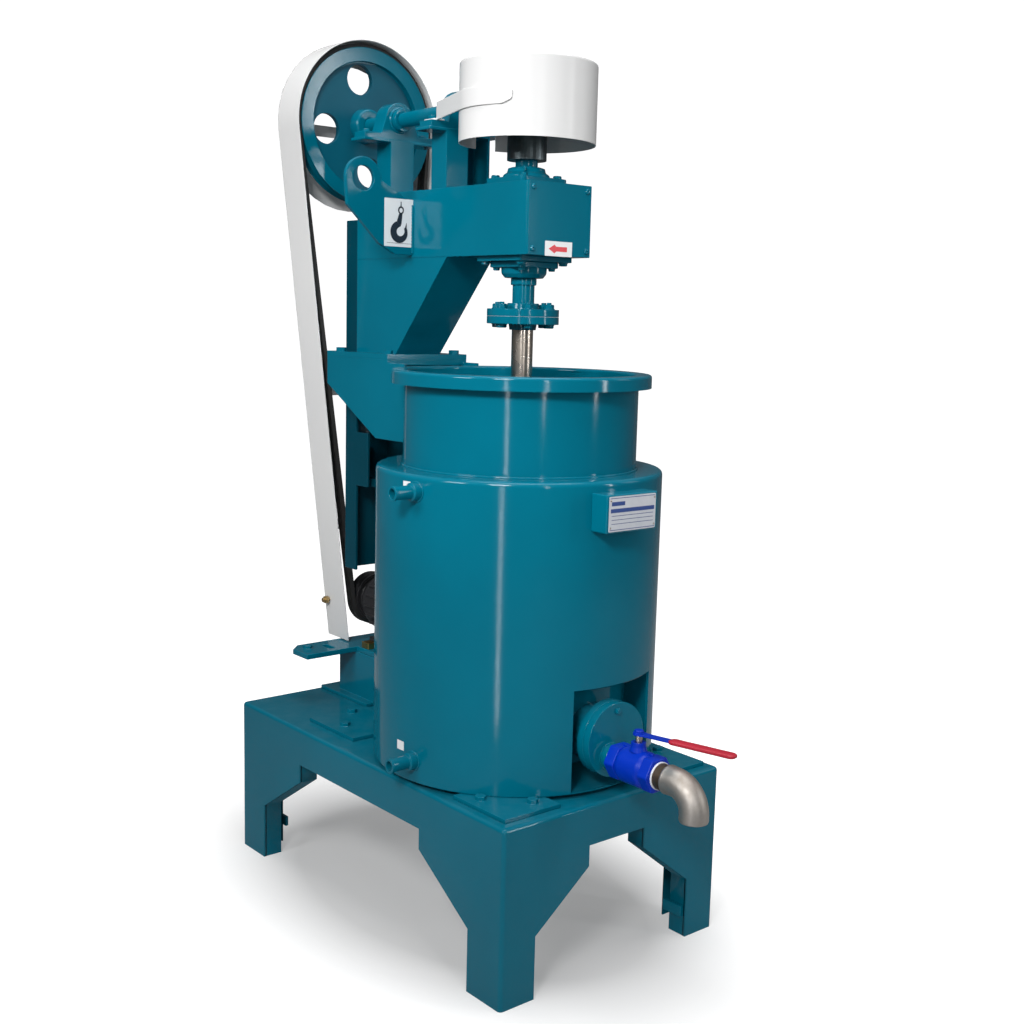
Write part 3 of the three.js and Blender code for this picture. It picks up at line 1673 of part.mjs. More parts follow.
// Back of the guard: a ring round the pulley, lips down both legs, cross straps and two stays
function guardBack() {
  const y = [guardRear - guardWall, guardRear];
  const through = [y[0] - cutOverrun, y[1] + cutOverrun];
  const whole = guardRegion(guardUpperRadius, guardLowerRadius, guardBottom, y);
  const betweenLips = guardRegion(
    guardUpperRadius - guardBackLip,
    guardLowerRadius - guardBackLip,
    guardBottom - cutOverrun,
    through,
  );
  const ringDisc = barY(
    guardUpperRadius,
    [through[0] - cutOverrun, through[1] + cutOverrun],
    0,
    shaftHeight,
    fineFacets,
  );
  const ringHole = barY(guardRingInner, through, 0, shaftHeight, fineFacets);
  const straps = [hubStrapHeight, upperStrapHeight, lowerStrapHeight].map((height) => block(
    about(0, 2 * guardUpperRadius - guardBackLip),
    y,
    about(height, guardStrapWidth),
  ).intersect(whole));
  const stays = [upperStrapHeight, lowerStrapHeight].map((height) => block(
    about(0, guardStayWidth),
    [columnRear + postDepth + 2 * seatGap, y[1]],
    about(height, guardStayHeight),
  ));
  return join(cut(whole, ringHole, cut(betweenLips, ringDisc)), ...straps, ...stays);
}

// Motor

const motorAxis = [motorX, motorAxisHeight];
const motorSeat = motorPlateTop + motorRailHeight;

function motorBody() {
  const y = [motorBodyFront, motorBodyRear];
  const barrel = barY(motorBodyRadius, y, ...motorAxis);
  const fins = Array.from({ length: motorFins }, (_, i) => block(
    [motorBodyRadius - motorFinHeight, motorBodyRadius + motorFinHeight],
    [y[0] + motorFinInset, y[1] - motorFinInset],
    about(0, motorFinThickness),
  ).rotate([0, fullTurn * i / motorFins, 0]).translate([motorX, 0, motorAxisHeight]));
  const shield = barY(endShieldRadius, [y[1] - endShieldLength, y[1] + endShieldLength], ...motorAxis);
  const cowlSeat = barY(
    fanCowlRadius - fanCowlWall - seatGap,
    [y[0] - cowlSeatLength, y[0] + cowlSeatLength],
    ...motorAxis,
  );
  const feet = [frontRailY, rearRailY].map((railY) => block(
    about(motorX, motorFootWidth),
    about(railY, motorFootLength),
    [motorSeat, motorSeat + motorFootThickness],
  ));
  const legs = [frontRailY, rearRailY].map((railY) => block(
    about(motorX, motorFootSpan),
    about(railY, motorFootLength),
    [motorSeat, motorAxisHeight],
  ));
  const bore = barY(
    motorShaftRadius + runningGap,
    [y[0] - cowlSeatLength - cutOverrun, y[1] + endShieldLength + cutOverrun],
    ...motorAxis,
  );
  return cut(join(barrel, shield, cowlSeat, ...fins, ...feet, ...legs), bore);
}

// Fan cowl with a grille of round slots in its end
function fanCowl() {
  const y = [motorBodyFront - fanCowlLength, motorBodyFront - seatGap];
  const outside = barY(fanCowlRadius, y, ...motorAxis);
  const inside = barY(fanCowlRadius - fanCowlWall, [y[0] + fanCowlWall, y[1] + cutOverrun], ...motorAxis);
  const end = [y[0] - cutOverrun, y[0] + fanCowlWall + cutOverrun];
  const beyond = [end[0] - cutOverrun, end[1] + cutOverrun];
  const slots = Array.from({ length: fanGrilleSlots }, (_, i) => {
    const radius = fanGrilleInner + i * fanGrillePitch;
    return cut(
      barY(radius + fanGrilleSlotWidth, end, ...motorAxis, coarseFacets),
      barY(radius, beyond, ...motorAxis, coarseFacets),
      block(about(motorX, 2 * fanCowlRadius), beyond, about(motorAxisHeight, fanGrilleBar)),
      block(about(motorX, fanGrilleBar), beyond, about(motorAxisHeight, 2 * fanCowlRadius)),
    );
  });
  return cut(outside, inside, ...slots);
}

function motorFan() {
  const start = motorBodyFront - fanSetback - fanLength;
  const y = [start, start + fanLength];
  const hub = barY(fanHubRadius, y, ...motorAxis, coarseFacets);
  const blades = Array.from({ length: fanBlades }, (_, i) => block(
    [0, fanRadius],
    y,
    about(0, fanBladeThickness),
  ).rotate([0, fullTurn * i / fanBlades, 0]).translate([motorX, 0, motorAxisHeight]));
  const bore = barY(motorShaftRadius + seatGap, [y[0] - cutOverrun, y[1] + cutOverrun], ...motorAxis);
  return cut(join(hub, ...blades), bore);
}

function motorShaft() {
  const start = motorBodyFront - fanSetback - fanLength;
  return barY(motorShaftRadius, [start, pulleyRear], ...motorAxis);
}

function terminalBox() {
  const y = about((motorBodyFront + motorBodyRear) / 2 - terminalBoxSetback, terminalBoxLength);
  const base = motorAxisHeight + motorBodyRadius + motorFinHeight + seatGap;
  const box = block(about(motorX, terminalBoxWidth), y, [base, base + terminalBoxHeight]);
  const lid = block(
    about(motorX, terminalBoxWidth + 2 * terminalLidLip),
    [y[0] - terminalLidLip, y[1] + terminalLidLip],
    [base + terminalBoxHeight, base + terminalBoxHeight + terminalLidThickness],
  );
  const gland = barX(
    glandRadius,
    [motorX + terminalBoxWidth / 2, motorX + terminalBoxWidth / 2 + glandLength],
    (y[0] + y[1]) / 2,
    base + terminalBoxHeight / 2,
    smallFacets,
  );
  return join(box, lid, gland);
}

// Plate under the motor, with a chamfered tongue to the left
function motorPlate() {
  const outline = shapeOf([
    [-motorPlateTongueLeft, motorPlateFront],
    [motorPlateRight, motorPlateFront],
    [motorPlateRight, motorPlateRear],
    [-motorPlateLeft + motorPlateChamfer, motorPlateRear],
    [-motorPlateLeft, motorPlateRear - motorPlateChamfer],
    [-motorPlateLeft, motorTongueFront],
    [-motorPlateTongueLeft, motorTongueFront],
  ]);
  const z = [motorPlateTop - motorPlateThickness, motorPlateTop];
  const slot = block(
    about(-tongueSlotX, tongueSlotWidth),
    about(tongueSlotY, tongueSlotLength),
    [z[0] - cutOverrun, z[1] + cutOverrun],
  );
  const bolt = boltUp(bolt16Head, bolt16Height, -tongueBoltX, tongueBoltY, motorPlateTop);
  return join(cut(plateXY(outline, z), slot), bolt);
}

function motorRail(railY) {
  const length = motorFootWidth + 2 * motorRailOverhang;
  return block(about(motorX, length), about(railY, motorRailWidth), [motorPlateTop, motorSeat]);
}

// Stand: two gussets, a rear web and a foot plate bolted to the table's rear edge
function motorStand() {
  const plateBottom = motorPlateTop - motorPlateThickness;
  const footTop = baseTop + standFootThickness;
  const gusset = shapeOf([
    [standFootFront, baseTop + standFootThickness / 2],
    [standRear, baseTop + standFootThickness / 2],
    [standRear, plateBottom],
    [standFront, plateBottom],
    [standFront, plateBottom - standNose],
  ]);
  const sides = [[-standLeft, -standLeft + standPlate], [standRight - standPlate, standRight]];
  const web = block([-standLeft, standRight], [standRear - standPlate, standRear], [baseTop, plateBottom]);
  const foot = block(
    [-standLeft - standFootReach, standRight + standFootReach],
    [standFootFront, standRear + standTail],
    [baseTop, footTop],
  );
  const heads = [standBoltLeftX, standBoltRightX].map(
    (x) => boltUp(bolt16Head, bolt16Height, x, standRear + standTail / 2, footTop),
  );
  return join(foot, web, ...sides.map((x) => plateYZ(gusset, x)), ...heads);
}

// Pieces

piece('table_frame', table(), tealPaint);
piece('tank_lug_front_left', frontLug(-1), tealPaint);
piece('tank_lug_front_right', frontLug(1), tealPaint);
piece('tank_lug_rear_left', rearLug(-1), tealPaint);
piece('tank_lug_rear_right', rearLug(1), tealPaint);
piece('cooling_jacket', jacket(), tealPaint);
piece('grinding_vessel', vessel(), tealPaint);
piece('outlet_flange', outletFlange(), tealPaint);
piece('outlet_cover', outletCover(), tealPaint);
piece('drain_nipple', drainNipple(), tealPaint);
piece('valve_body', valveBody(), bluePaint);
piece('valve_ball', valveBall(), stainless);
piece('valve_lever', valveLever(), bluePaint);
piece('lever_grip', leverGrip(), redGrip);
piece('tail_nipple', tailNipple(), castSteel);
piece('outlet_elbow', elbow(), stainless);
piece('water_nozzle_upper', waterNozzle(upperNozzleHeight), tealPaint);
piece('water_nozzle_lower', waterNozzle(lowerNozzleHeight), tealPaint);
piece('name_plate_box', nameBox(), tealPaint);
piece('tank_bracket', bracket(), tealPaint);
piece('head_column', column(), tealPaint);
piece('head_arm', arm(), tealPaint);
piece('arm_end_cover', endCover(), tealPaint);
piece('lifting_ear_left', ear(-1), tealPaint);
piece('lifting_ear_right', ear(1), tealPaint);
piece('guard_post', guardPost(), tealPaint);
piece('rear_pedestal', pedestal(rearPedestalWidth, rearPedestalFront, rearPedestalDepth), tealPaint);
piece('front_pedestal', frontPedestal(), tealPaint);
piece('rear_pillow_block', pillowBlock(rearPillowY, false), tealPaint);
piece('front_pillow_block', pillowBlock(frontPillowY, true), tealPaint);
piece('gear_guard', gearGuard(), whitePaint);
piece('gear_guard_strap', gearGuardStrap(), whitePaint);
piece('upper_spindle_bearing', upperBearing(), tealPaint);
piece('lower_spindle_bearing', lowerBearing(), tealPaint);
piece('spindle', spindle(), stainless);
piece('bevel_gear', bevelGear(), gearSteel);
piece('upper_coupling', upperCoupling(), tealPaint);
piece('stirrer_shaft', stirrerShaft(), stainless);
armHeights().forEach((_, level) => piece(`stirrer_arm_${level + 1}`, stirrerArm(level), stainless));
piece('drive_shaft', driveShaft(), stainless);
piece('bevel_pinion', bevelPinion(), gearSteel);
piece('drive_pulley', drivePulley(), tealPaint);
piece('motor_pulley', motorPulley(), blackPaint);
piece('v_belt_front', vBelt(0), blackRubber);
piece('v_belt_rear', vBelt(1), blackRubber);
piece('belt_guard_band', guardBand(), whitePaint);
piece('belt_guard_back', guardBack(), whitePaint);
piece('motor_body', motorBody(), blackPaint);
piece('motor_shaft', motorShaft(), stainless);
piece('motor_fan', motorFan(), blackPaint);
piece('fan_cowl', fanCowl(), blackPaint);
piece('terminal_box', terminalBox(), blackPaint);
piece('motor_rail_front', motorRail(frontRailY), zincYellow);
piece('motor_rail_rear', motorRail(rearRailY), zincYellow);
piece('motor_plate', motorPlate(), tealPaint);
piece('motor_stand', motorStand(), tealPaint);

// The mill stands on its feet, with the middle of its outer limits over the origin
const limits = new THREE.Box3().setFromObject(mill);
const middle = limits.getCenter(new THREE.Vector3());
mill.position.set(-middle.x, -middle.y, 0);

export default mill;
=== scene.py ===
import json
import math

import bmesh
import bpy
import numpy as np
from mathutils import Matrix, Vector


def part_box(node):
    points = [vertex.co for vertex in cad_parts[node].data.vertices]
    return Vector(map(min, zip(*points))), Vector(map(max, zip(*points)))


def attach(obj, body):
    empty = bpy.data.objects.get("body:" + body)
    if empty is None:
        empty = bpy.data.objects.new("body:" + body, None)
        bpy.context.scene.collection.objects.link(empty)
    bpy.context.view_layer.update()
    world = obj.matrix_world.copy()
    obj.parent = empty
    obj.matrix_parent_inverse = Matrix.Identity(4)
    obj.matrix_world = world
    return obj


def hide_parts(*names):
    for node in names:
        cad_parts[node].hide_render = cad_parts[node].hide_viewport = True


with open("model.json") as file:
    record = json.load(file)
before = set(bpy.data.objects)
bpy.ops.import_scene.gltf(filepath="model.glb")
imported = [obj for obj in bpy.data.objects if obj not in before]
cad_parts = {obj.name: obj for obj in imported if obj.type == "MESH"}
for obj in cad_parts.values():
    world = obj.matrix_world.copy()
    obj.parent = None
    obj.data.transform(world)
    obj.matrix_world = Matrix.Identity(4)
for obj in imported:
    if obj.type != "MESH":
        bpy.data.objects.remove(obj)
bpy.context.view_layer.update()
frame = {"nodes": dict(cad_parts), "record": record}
NODES = frame["nodes"]

# The looks of an attritor mill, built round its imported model.
# Lengths are in millimetres from the spindle's axis and the floor, +Z up and -Y towards the
# drain. put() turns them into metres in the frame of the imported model.

MM = 0.001
MERGE = 2e-6  # metres: points of a new shell nearer than this become one
LOOSE = 1e-5  # metres: the same for the loose triangles of a CAD piece
TURN = 2 * math.pi
QUARTER = math.pi / 2
FRONT = -QUARTER
SIXTHS = np.arange(6) / 6 * TURN

SPINDLE_LOW, SPINDLE_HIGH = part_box("spindle")
ORIGIN = np.array([(SPINDLE_LOW.x + SPINDLE_HIGH.x) / 2, (SPINDLE_LOW.y + SPINDLE_HIGH.y) / 2, 0.0])

BODIES = frame["record"]["behaviour"]["bodies"]
BODY_OF = {node: body for body, members in BODIES.items() for node in members}
SLOT_OF = {part["node"]: part["material_slot"] for part in frame["record"]["subparts"]}


def limits(node):
    """Lowest and highest corner of a CAD piece, in millimetres from the spindle's axis."""
    return tuple((np.array(corner) - ORIGIN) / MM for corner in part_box(node))


def middle(node):
    """The middle of a CAD piece's box."""
    low, high = limits(node)
    return (low + high) / 2


# Node groups that several finishes share

def new_group(name, inputs, outputs):
    """An empty shader group with number inputs (name, value) and number outputs."""
    group = bpy.data.node_groups.new(name, "ShaderNodeTree")
    for label, value in inputs:
        socket = group.interface.new_socket(label, in_out="INPUT", socket_type="NodeSocketFloat")
        socket.default_value = value
    for label in outputs:
        group.interface.new_socket(label, in_out="OUTPUT", socket_type="NodeSocketFloat")
    return group, group.nodes.new("NodeGroupInput"), group.nodes.new("NodeGroupOutput")


def add_noise(tree, vector, scale, detail=3.0, rough=0.5):
    """A noise texture on a vector socket; scale is a number or a socket."""
    noise = tree.nodes.new("ShaderNodeTexNoise")
    noise.inputs["Detail"].default_value = detail
    noise.inputs["Roughness"].default_value = rough
    tree.links.new(vector, noise.inputs["Vector"])
    if isinstance(scale, (int, float)):
        noise.inputs["Scale"].default_value = scale
    else:
        tree.links.new(scale, noise.inputs["Scale"])
    return noise.outputs["Fac"]


def add_math(tree, operation, first, second, third=None):
    """A math node on sockets or numbers."""
    node = tree.nodes.new("ShaderNodeMath")
    node.operation = operation
    for index, value in enumerate((first, second, third)):
        if value is None:
            continue
        if isinstance(value, (int, float)):
            node.inputs[index].default_value = value
        else:
            tree.links.new(value, node.inputs[index])
    return node.outputs[0]


def add_vector_math(tree, operation, vector, other=None):
    """A vector math node on a socket and a constant."""
    node = tree.nodes.new("ShaderNodeVectorMath")
    node.operation = operation
    tree.links.new(vector, node.inputs[0])
    if other is not None:
        node.inputs[1].default_value = other
    return node


def add_ramp(tree, value, low, high, out_low=0.0, out_high=1.0):
    """A value mapped from low..high to out_low..out_high, held at its ends."""
    node = tree.nodes.new("ShaderNodeMapRange")
    node.inputs["From Min"].default_value = low
    node.inputs["From Max"].default_value = high
    node.inputs["To Min"].default_value = out_low
    node.inputs["To Max"].default_value = out_high
    tree.links.new(value, node.inputs["Value"])
    return node.outputs["Result"]


def make_enamel_group():
    """Brushed-on enamel: fine orange peel and long waves as height, and a slow drift of shade."""
    group, given, result = new_group(
        "enamel_skin", [("Peel Scale", 420.0), ("Wave Scale", 9.0)], ["Height", "Shade", "Dust"]
    )
    wave_share = 3.0
    drift_scale, drift_detail, drift_rough = 2.3, 4.0, 0.55
    patch_scale, patch_detail, patch_rough = 14.0, 6.0, 0.65
    dust_from, dust_full = 0.55, 1.0
    place = group.nodes.new("ShaderNodeTexCoord").outputs["Object"]
    peel = add_noise(group, place, given.outputs["Peel Scale"], 2.0)
    wave = add_noise(group, place, given.outputs["Wave Scale"], 2.0)
    height = add_math(group, "MULTIPLY_ADD", wave, wave_share, peel)
    drift = add_noise(group, place, drift_scale, drift_detail, drift_rough)
    shade = add_ramp(group, drift, 0.3, 0.7)
    normal = group.nodes.new("ShaderNodeNewGeometry").outputs["Normal"]
    split = group.nodes.new("ShaderNodeSeparateXYZ")
    group.links.new(normal, split.inputs[0])
    upward = add_ramp(group, split.outputs["Z"], dust_from, dust_full)
    cloud = add_noise(group, place, patch_scale, patch_detail, patch_rough)
    patches = add_ramp(group, cloud, 0.38, 0.72)
    dust = add_math(group, "MULTIPLY", upward, patches)
    group.links.new(height, result.inputs["Height"])
    group.links.new(shade, result.inputs["Shade"])
    group.links.new(dust, result.inputs["Dust"])
    return group


def make_lathe_group():
    """Turned or drawn metal: streaks that are long one way and fine the other, with faint stains."""
    group, given, result = new_group(
        "turned_metal", [("Along X", 1.0), ("Along Y", 1.0), ("Along Z", 1.0)], ["Height", "Stain"]
    )
    streak_scale, streak_detail = 60.0, 4.0
    stain_scale, stain_detail, stain_rough = 22.0, 6.0, 0.6
    place = group.nodes.new("ShaderNodeTexCoord").outputs["Object"]
    stretch = group.nodes.new("ShaderNodeCombineXYZ")
    for label, axis in (("Along X", "X"), ("Along Y", "Y"), ("Along Z", "Z")):
        group.links.new(given.outputs[label], stretch.inputs[axis])
    scaled = add_vector_math(group, "MULTIPLY", place)
    group.links.new(stretch.outputs[0], scaled.inputs[1])
    streaks = add_noise(group, scaled.outputs[0], streak_scale, streak_detail)
    group.links.new(streaks, result.inputs["Height"])
    cloud = add_noise(group, place, stain_scale, stain_detail, stain_rough)
    group.links.new(add_ramp(group, cloud, 0.35, 0.7), result.inputs["Stain"])
    return group


ENAMEL = make_enamel_group()
TURNED = make_lathe_group()


# Finishes, by the names of the record's slots

PEEL_DEPTH = 0.00006
GRAIN_DEPTH = 0.0001
DUST_ROUGHNESS = 0.5
ENAMEL_DRIFT, METAL_DRIFT, PLASTIC_DRIFT = 1.35, 1.5, 1.25  # a finish's roughest patch to its smoothest


def principled(name, **values):
    """A material with plain values on its Principled shader's own sockets."""
    material = bpy.data.materials.new(name)
    material.use_nodes = True
    shader = material.node_tree.nodes["Principled BSDF"]
    for label, value in values.items():
        shader.inputs[label.replace("_", " ")].default_value = value
    return material, material.node_tree, shader


def add_group(tree, group, **values):
    """A group placed in a material, with its own values."""
    node = tree.nodes.new("ShaderNodeGroup")
    node.node_tree = group
    for label, value in values.items():
        node.inputs[label.replace("_", " ")].default_value = value
    return node


def add_bump(tree, shader, height, distance):
    """A height from 0 to 1, times a distance in metres, as the shader's normal."""
    bump = tree.nodes.new("ShaderNodeBump")
    bump.inputs["Distance"].default_value = distance
    tree.links.new(height, bump.inputs["Height"])
    tree.links.new(bump.outputs["Normal"], shader.inputs["Normal"])


def add_colours(tree, factor, first, second):
    """A colour mixed by a mask."""
    mix = tree.nodes.new("ShaderNodeMix")
    mix.data_type = "RGBA"
    tree.links.new(factor, mix.inputs["Factor"])
    for socket, colour in ((mix.inputs[6], first), (mix.inputs[7], second)):
        if isinstance(colour, tuple):
            socket.default_value = (*colour, 1.0)
        else:
            tree.links.new(colour, socket)
    return mix.outputs[2]


def enamel(name, colour, deep, rough, dust_colour, dusting, gloss=0.22):
    """Gloss enamel: two close shades, orange peel, and a little dust on faces that look up."""
    material, tree, shader = principled(name, Specular_IOR_Level=gloss)
    skin = add_group(tree, ENAMEL)
    base = add_colours(tree, skin.outputs["Shade"], colour, deep)
    thin = add_math(tree, "MULTIPLY", skin.outputs["Dust"], dusting)
    tree.links.new(add_colours(tree, thin, base, dust_colour), shader.inputs["Base Color"])
    drift = add_ramp(tree, skin.outputs["Shade"], 0.0, 1.0, rough, rough * ENAMEL_DRIFT)
    dusty = add_math(tree, "MULTIPLY_ADD", thin, DUST_ROUGHNESS, drift)
    tree.links.new(dusty, shader.inputs["Roughness"])
    add_bump(tree, shader, skin.outputs["Height"], PEEL_DEPTH)
    return material


def metal(name, bright, dull, rough, stretch, metallic=1.0, depth=0.00004):
    """Bare metal with drawn or turned streaks and faint stains."""
    material, tree, shader = principled(name, Metallic=metallic)
    skin = add_group(tree, TURNED, Along_X=stretch[0], Along_Y=stretch[1], Along_Z=stretch[2])
    colour = add_colours(tree, skin.outputs["Stain"], bright, dull)
    tree.links.new(colour, shader.inputs["Base Color"])
    drift = add_ramp(tree, skin.outputs["Stain"], 0.0, 1.0, rough, rough * METAL_DRIFT)
    tree.links.new(drift, shader.inputs["Roughness"])
    add_bump(tree, shader, skin.outputs["Height"], depth)
    return material


def soft_plastic(name, colour, deep, rough, scale=260.0):
    """Dipped plastic or rubber: a fine grain and a slight drift of shade."""
    material, tree, shader = principled(name)
    skin = add_group(tree, ENAMEL, Peel_Scale=scale)
    tree.links.new(add_colours(tree, skin.outputs["Shade"], colour, deep), shader.inputs["Base Color"])
    drift = add_ramp(tree, skin.outputs["Shade"], 0.0, 1.0, rough, rough * PLASTIC_DRIFT)
    tree.links.new(drift, shader.inputs["Roughness"])
    add_bump(tree, shader, skin.outputs["Height"], GRAIN_DEPTH)
    return material


TEAL_DUST = (0.16, 0.30, 0.33)
EVEN_GRAIN = (1.0, 1.0, 1.0)
FINISH = {
    "teal_paint": enamel(
        "teal_enamel", (0.0, 0.140, 0.212), (0.0, 0.118, 0.18), 0.09, TEAL_DUST, 0.1, gloss=0.26
    ),
    "white_paint": enamel(
        "white_enamel", (0.70, 0.70, 0.695), (0.66, 0.66, 0.66), 0.2, (0.6, 0.6, 0.58), 0.1
    ),
    "blue_paint": enamel(
        "blue_enamel", (0.0, 0.035, 0.50), (0.0, 0.022, 0.36), 0.3, (0.1, 0.14, 0.35), 0.1
    ),
    "red_grip": soft_plastic("red_dipped_grip", (0.52, 0.016, 0.04), (0.42, 0.012, 0.03), 0.36),
    "stainless": metal(
        "drawn_stainless", (0.64, 0.58, 0.52), (0.44, 0.38, 0.32), 0.22, (4.0, 4.0, 0.25)
    ),
    "black_steel": metal(
        "dark_pipe_steel", (0.20, 0.15, 0.11), (0.12, 0.085, 0.06), 0.42, (1.0, 6.0, 1.0)
    ),
    "belt_rubber": soft_plastic(
        "belt_rubber", (0.012, 0.012, 0.013), (0.022, 0.021, 0.02), 0.48, scale=700.0
    ),
    "black_paint": enamel(
        "black_enamel", (0.018, 0.019, 0.021), (0.028, 0.028, 0.03), 0.34, (0.12, 0.11, 0.1), 0.25
    ),
    "zinc_yellow": metal("yellow_zinc", (0.55, 0.38, 0.13), (0.42, 0.30, 0.16), 0.35, (1.0, 3.0, 1.0)),
    "gear_steel": metal(
        "greased_gear_steel", (0.12, 0.14, 0.15), (0.05, 0.07, 0.075), 0.32, (2.0, 2.0, 2.0)
    ),
}
CAST_ELBOW = metal(
    "cast_stainless", (0.52, 0.49, 0.46), (0.40, 0.36, 0.32), 0.42, EVEN_GRAIN, depth=0.00012
)
LABEL_WHITE = soft_plastic("label_white", (0.80, 0.81, 0.82), (0.74, 0.75, 0.76), 0.3, scale=900.0)
LABEL_DARK = soft_plastic("label_dark", (0.014, 0.018, 0.03), (0.02, 0.024, 0.036), 0.32, scale=900.0)
LABEL_RED = soft_plastic("label_red", (0.72, 0.045, 0.06), (0.64, 0.03, 0.045), 0.32, scale=900.0)
# A darker copy of the teal enamel for the pulley's web: painted shade, standing in for the shade inside
# the belt guard.
SHADED_WEB_PAINT = enamel(
    "pulley_web_enamel_painted_shade", (0.0, 0.125, 0.19), (0.004, 0.075, 0.12), 0.3, TEAL_DUST, 0.1, gloss=0.15
)
# A darker copy of the teal enamel for the guard post: painted shade, standing in for the shade that the
# column and the guard's band cast on it.
SHADED_POST_PAINT = enamel("post_enamel_painted_shade", (0.0, 0.050, 0.078), (0.0, 0.036, 0.056), 0.2, TEAL_DUST, 0.1)
TAPE = soft_plastic("thread_tape", (0.78, 0.80, 0.84), (0.68, 0.70, 0.74), 0.5, scale=500.0)
PLATE_METAL = metal(
    "plate_aluminium", (0.72, 0.74, 0.78), (0.64, 0.67, 0.72), 0.36, (0.5, 4.0, 9.0), metallic=0.6
)
PLATE_BLUE = soft_plastic("plate_print", (0.02, 0.055, 0.22), (0.03, 0.07, 0.25), 0.35, scale=900.0)


# Shells: each maker gives points in millimetres and faces with four corners

def rounded(outline, radius, steps=3, closed=True):
    """An outline with each corner swapped for a parabola that starts and ends `radius` from it:
    (1-s)^2 before + 2 s (1-s) corner + s^2 after, for s from 0 to 1. An open outline keeps its ends."""
    corner = np.asarray(outline, float)
    before = np.roll(corner, 1, axis=0) - corner
    after = np.roll(corner, -1, axis=0) - corner
    reach_before = np.linalg.norm(before, axis=1, keepdims=True)
    reach_after = np.linalg.norm(after, axis=1, keepdims=True)
    wanted = np.broadcast_to(np.asarray(radius, float), len(corner)).reshape(-1, 1)
    cut = np.minimum(np.minimum(reach_before, reach_after) * 0.48, wanted)
    start = (corner + before / reach_before * cut)[:, None]
    end = (corner + after / reach_after * cut)[:, None]
    s = np.linspace(0.0, 1.0, steps + 1)[None, :, None]
    curve = (1 - s) ** 2 * start + 2 * s * (1 - s) * corner[:, None] + s ** 2 * end
    if closed:
        return curve.reshape(-1, 2)
    return np.concatenate([corner[:1], curve[1:-1].reshape(-1, 2), corner[-1:]])


def soft_square(corner):
    """A square from -1 to 1 with rounded corners."""
    return rounded([[-1, -1], [1, -1], [1, 1], [-1, 1]], corner)


def circle(steps, radius=1.0):
    """Points round a circle."""
    angle = np.linspace(0.0, TURN, steps, endpoint=False)
    return radius * np.stack([np.cos(angle), np.sin(angle)], axis=-1)


def polygon(sides, flats, corner=1.0, turn=0.0):
    """A regular polygon with its flats a distance apart and its corners rounded."""
    angle = np.arange(sides) / sides * TURN + turn
    radius = flats / 2 / math.cos(math.pi / sides)
    return rounded(radius * np.stack([np.cos(angle), np.sin(angle)], axis=-1), corner)


def rectangle(width, height, corner=2.0, at=(0.0, 0.0)):
    """A rectangle with rounded corners, centred on a place."""
    x, y = width / 2, height / 2
    return rounded([[-x, -y], [x, -y], [x, y], [-x, y]], corner) + np.asarray(at, float)


def spread(axis, a, b, along):
    """Points from two coordinates across an axis and one along it: (a, b, along) for z,
    (a, along, b) for y and (along, a, b) for x."""
    a, b, along = np.broadcast_arrays(a, b, along)
    order = {"z": (a, b, along), "y": (a, along, b), "x": (along, a, b)}[axis]
    return np.stack(order, axis=-1)


def quads(rows, columns, wrap_rows, wrap_columns):
    """The faces of a grid of points: (i, j), (i, j+1), (i+1, j+1), (i+1, j)."""
    i = np.arange(rows if wrap_rows else rows - 1)[:, None]
    j = np.arange(columns if wrap_columns else columns - 1)[None, :]
    below, above = i * columns, (i + 1) % rows * columns
    left, right = j, (j + 1) % columns
    corners = np.broadcast_arrays(below + left, below + right, above + right, above + left)
    return np.stack(corners, axis=-1).reshape(-1, 4)


def lofted(profile, ring, centre=(0.0, 0.0), axis="z", closed=False):
    """A ring scaled along a profile: centre + r * ring at height h, for each (r, h) of the profile.
    The centre may be one place or one for each row."""
    r, h = np.asarray(profile, float).T
    ring = np.asarray(ring, float)
    centre = np.broadcast_to(np.asarray(centre, float), (len(r), 2))
    a = centre[:, :1] + r[:, None] * ring[:, 0]
    b = centre[:, 1:] + r[:, None] * ring[:, 1]
    points = spread(axis, a, b, h[:, None]).reshape(-1, 3)
    return points, quads(len(r), len(ring), closed, True)


def turned(profile, centre=(0.0, 0.0), axis="z", edge=1.0, steps=96, closed=True):
    """A profile of (radius, height) with rounded corners, turned round an axis."""
    return lofted(rounded(profile, edge, closed=closed), circle(steps), centre, axis, closed)


def rod(radius, low, high, centre=(0.0, 0.0), axis="z", edge=1.0, steps=64):
    """A solid round bar with rounded rims."""
    profile = [[0.0, low], [radius, low], [radius, high], [0.0, high]]
    return turned(profile, centre, axis, edge, steps, closed=False)


def tube(outer, inner, low, high, centre=(0.0, 0.0), axis="z", edge=0.8, steps=64):
    """A ring or a pipe with rounded rims."""
    profile = [[inner, low], [outer, low], [outer, high], [inner, high]]
    return turned(profile, centre, axis, edge, steps)


def prism(outline, low, high, axis="z", edge=1.5):
    """An outline carried straight from low to high: middle + (outline - middle) * r / reach, where
    (r, h) follows a profile with rounded rims from the middle of one end to that of the other."""
    outline = np.asarray(outline, float)
    centre = (outline.min(axis=0) + outline.max(axis=0)) / 2
    reach = np.linalg.norm(outline - centre, axis=1).min()
    profile = rounded([[0.0, low], [reach, low], [reach, high], [0.0, high]], edge, closed=False)
    return lofted(profile, (outline - centre) / reach, centre, axis)


def bar(x, y, z, edge=1.5):
    """A box from its limits, with rounded edges."""
    centre = ((x[0] + x[1]) / 2, (y[0] + y[1]) / 2)
    return prism(rectangle(x[1] - x[0], y[1] - y[0], edge, centre), *z, edge=edge)


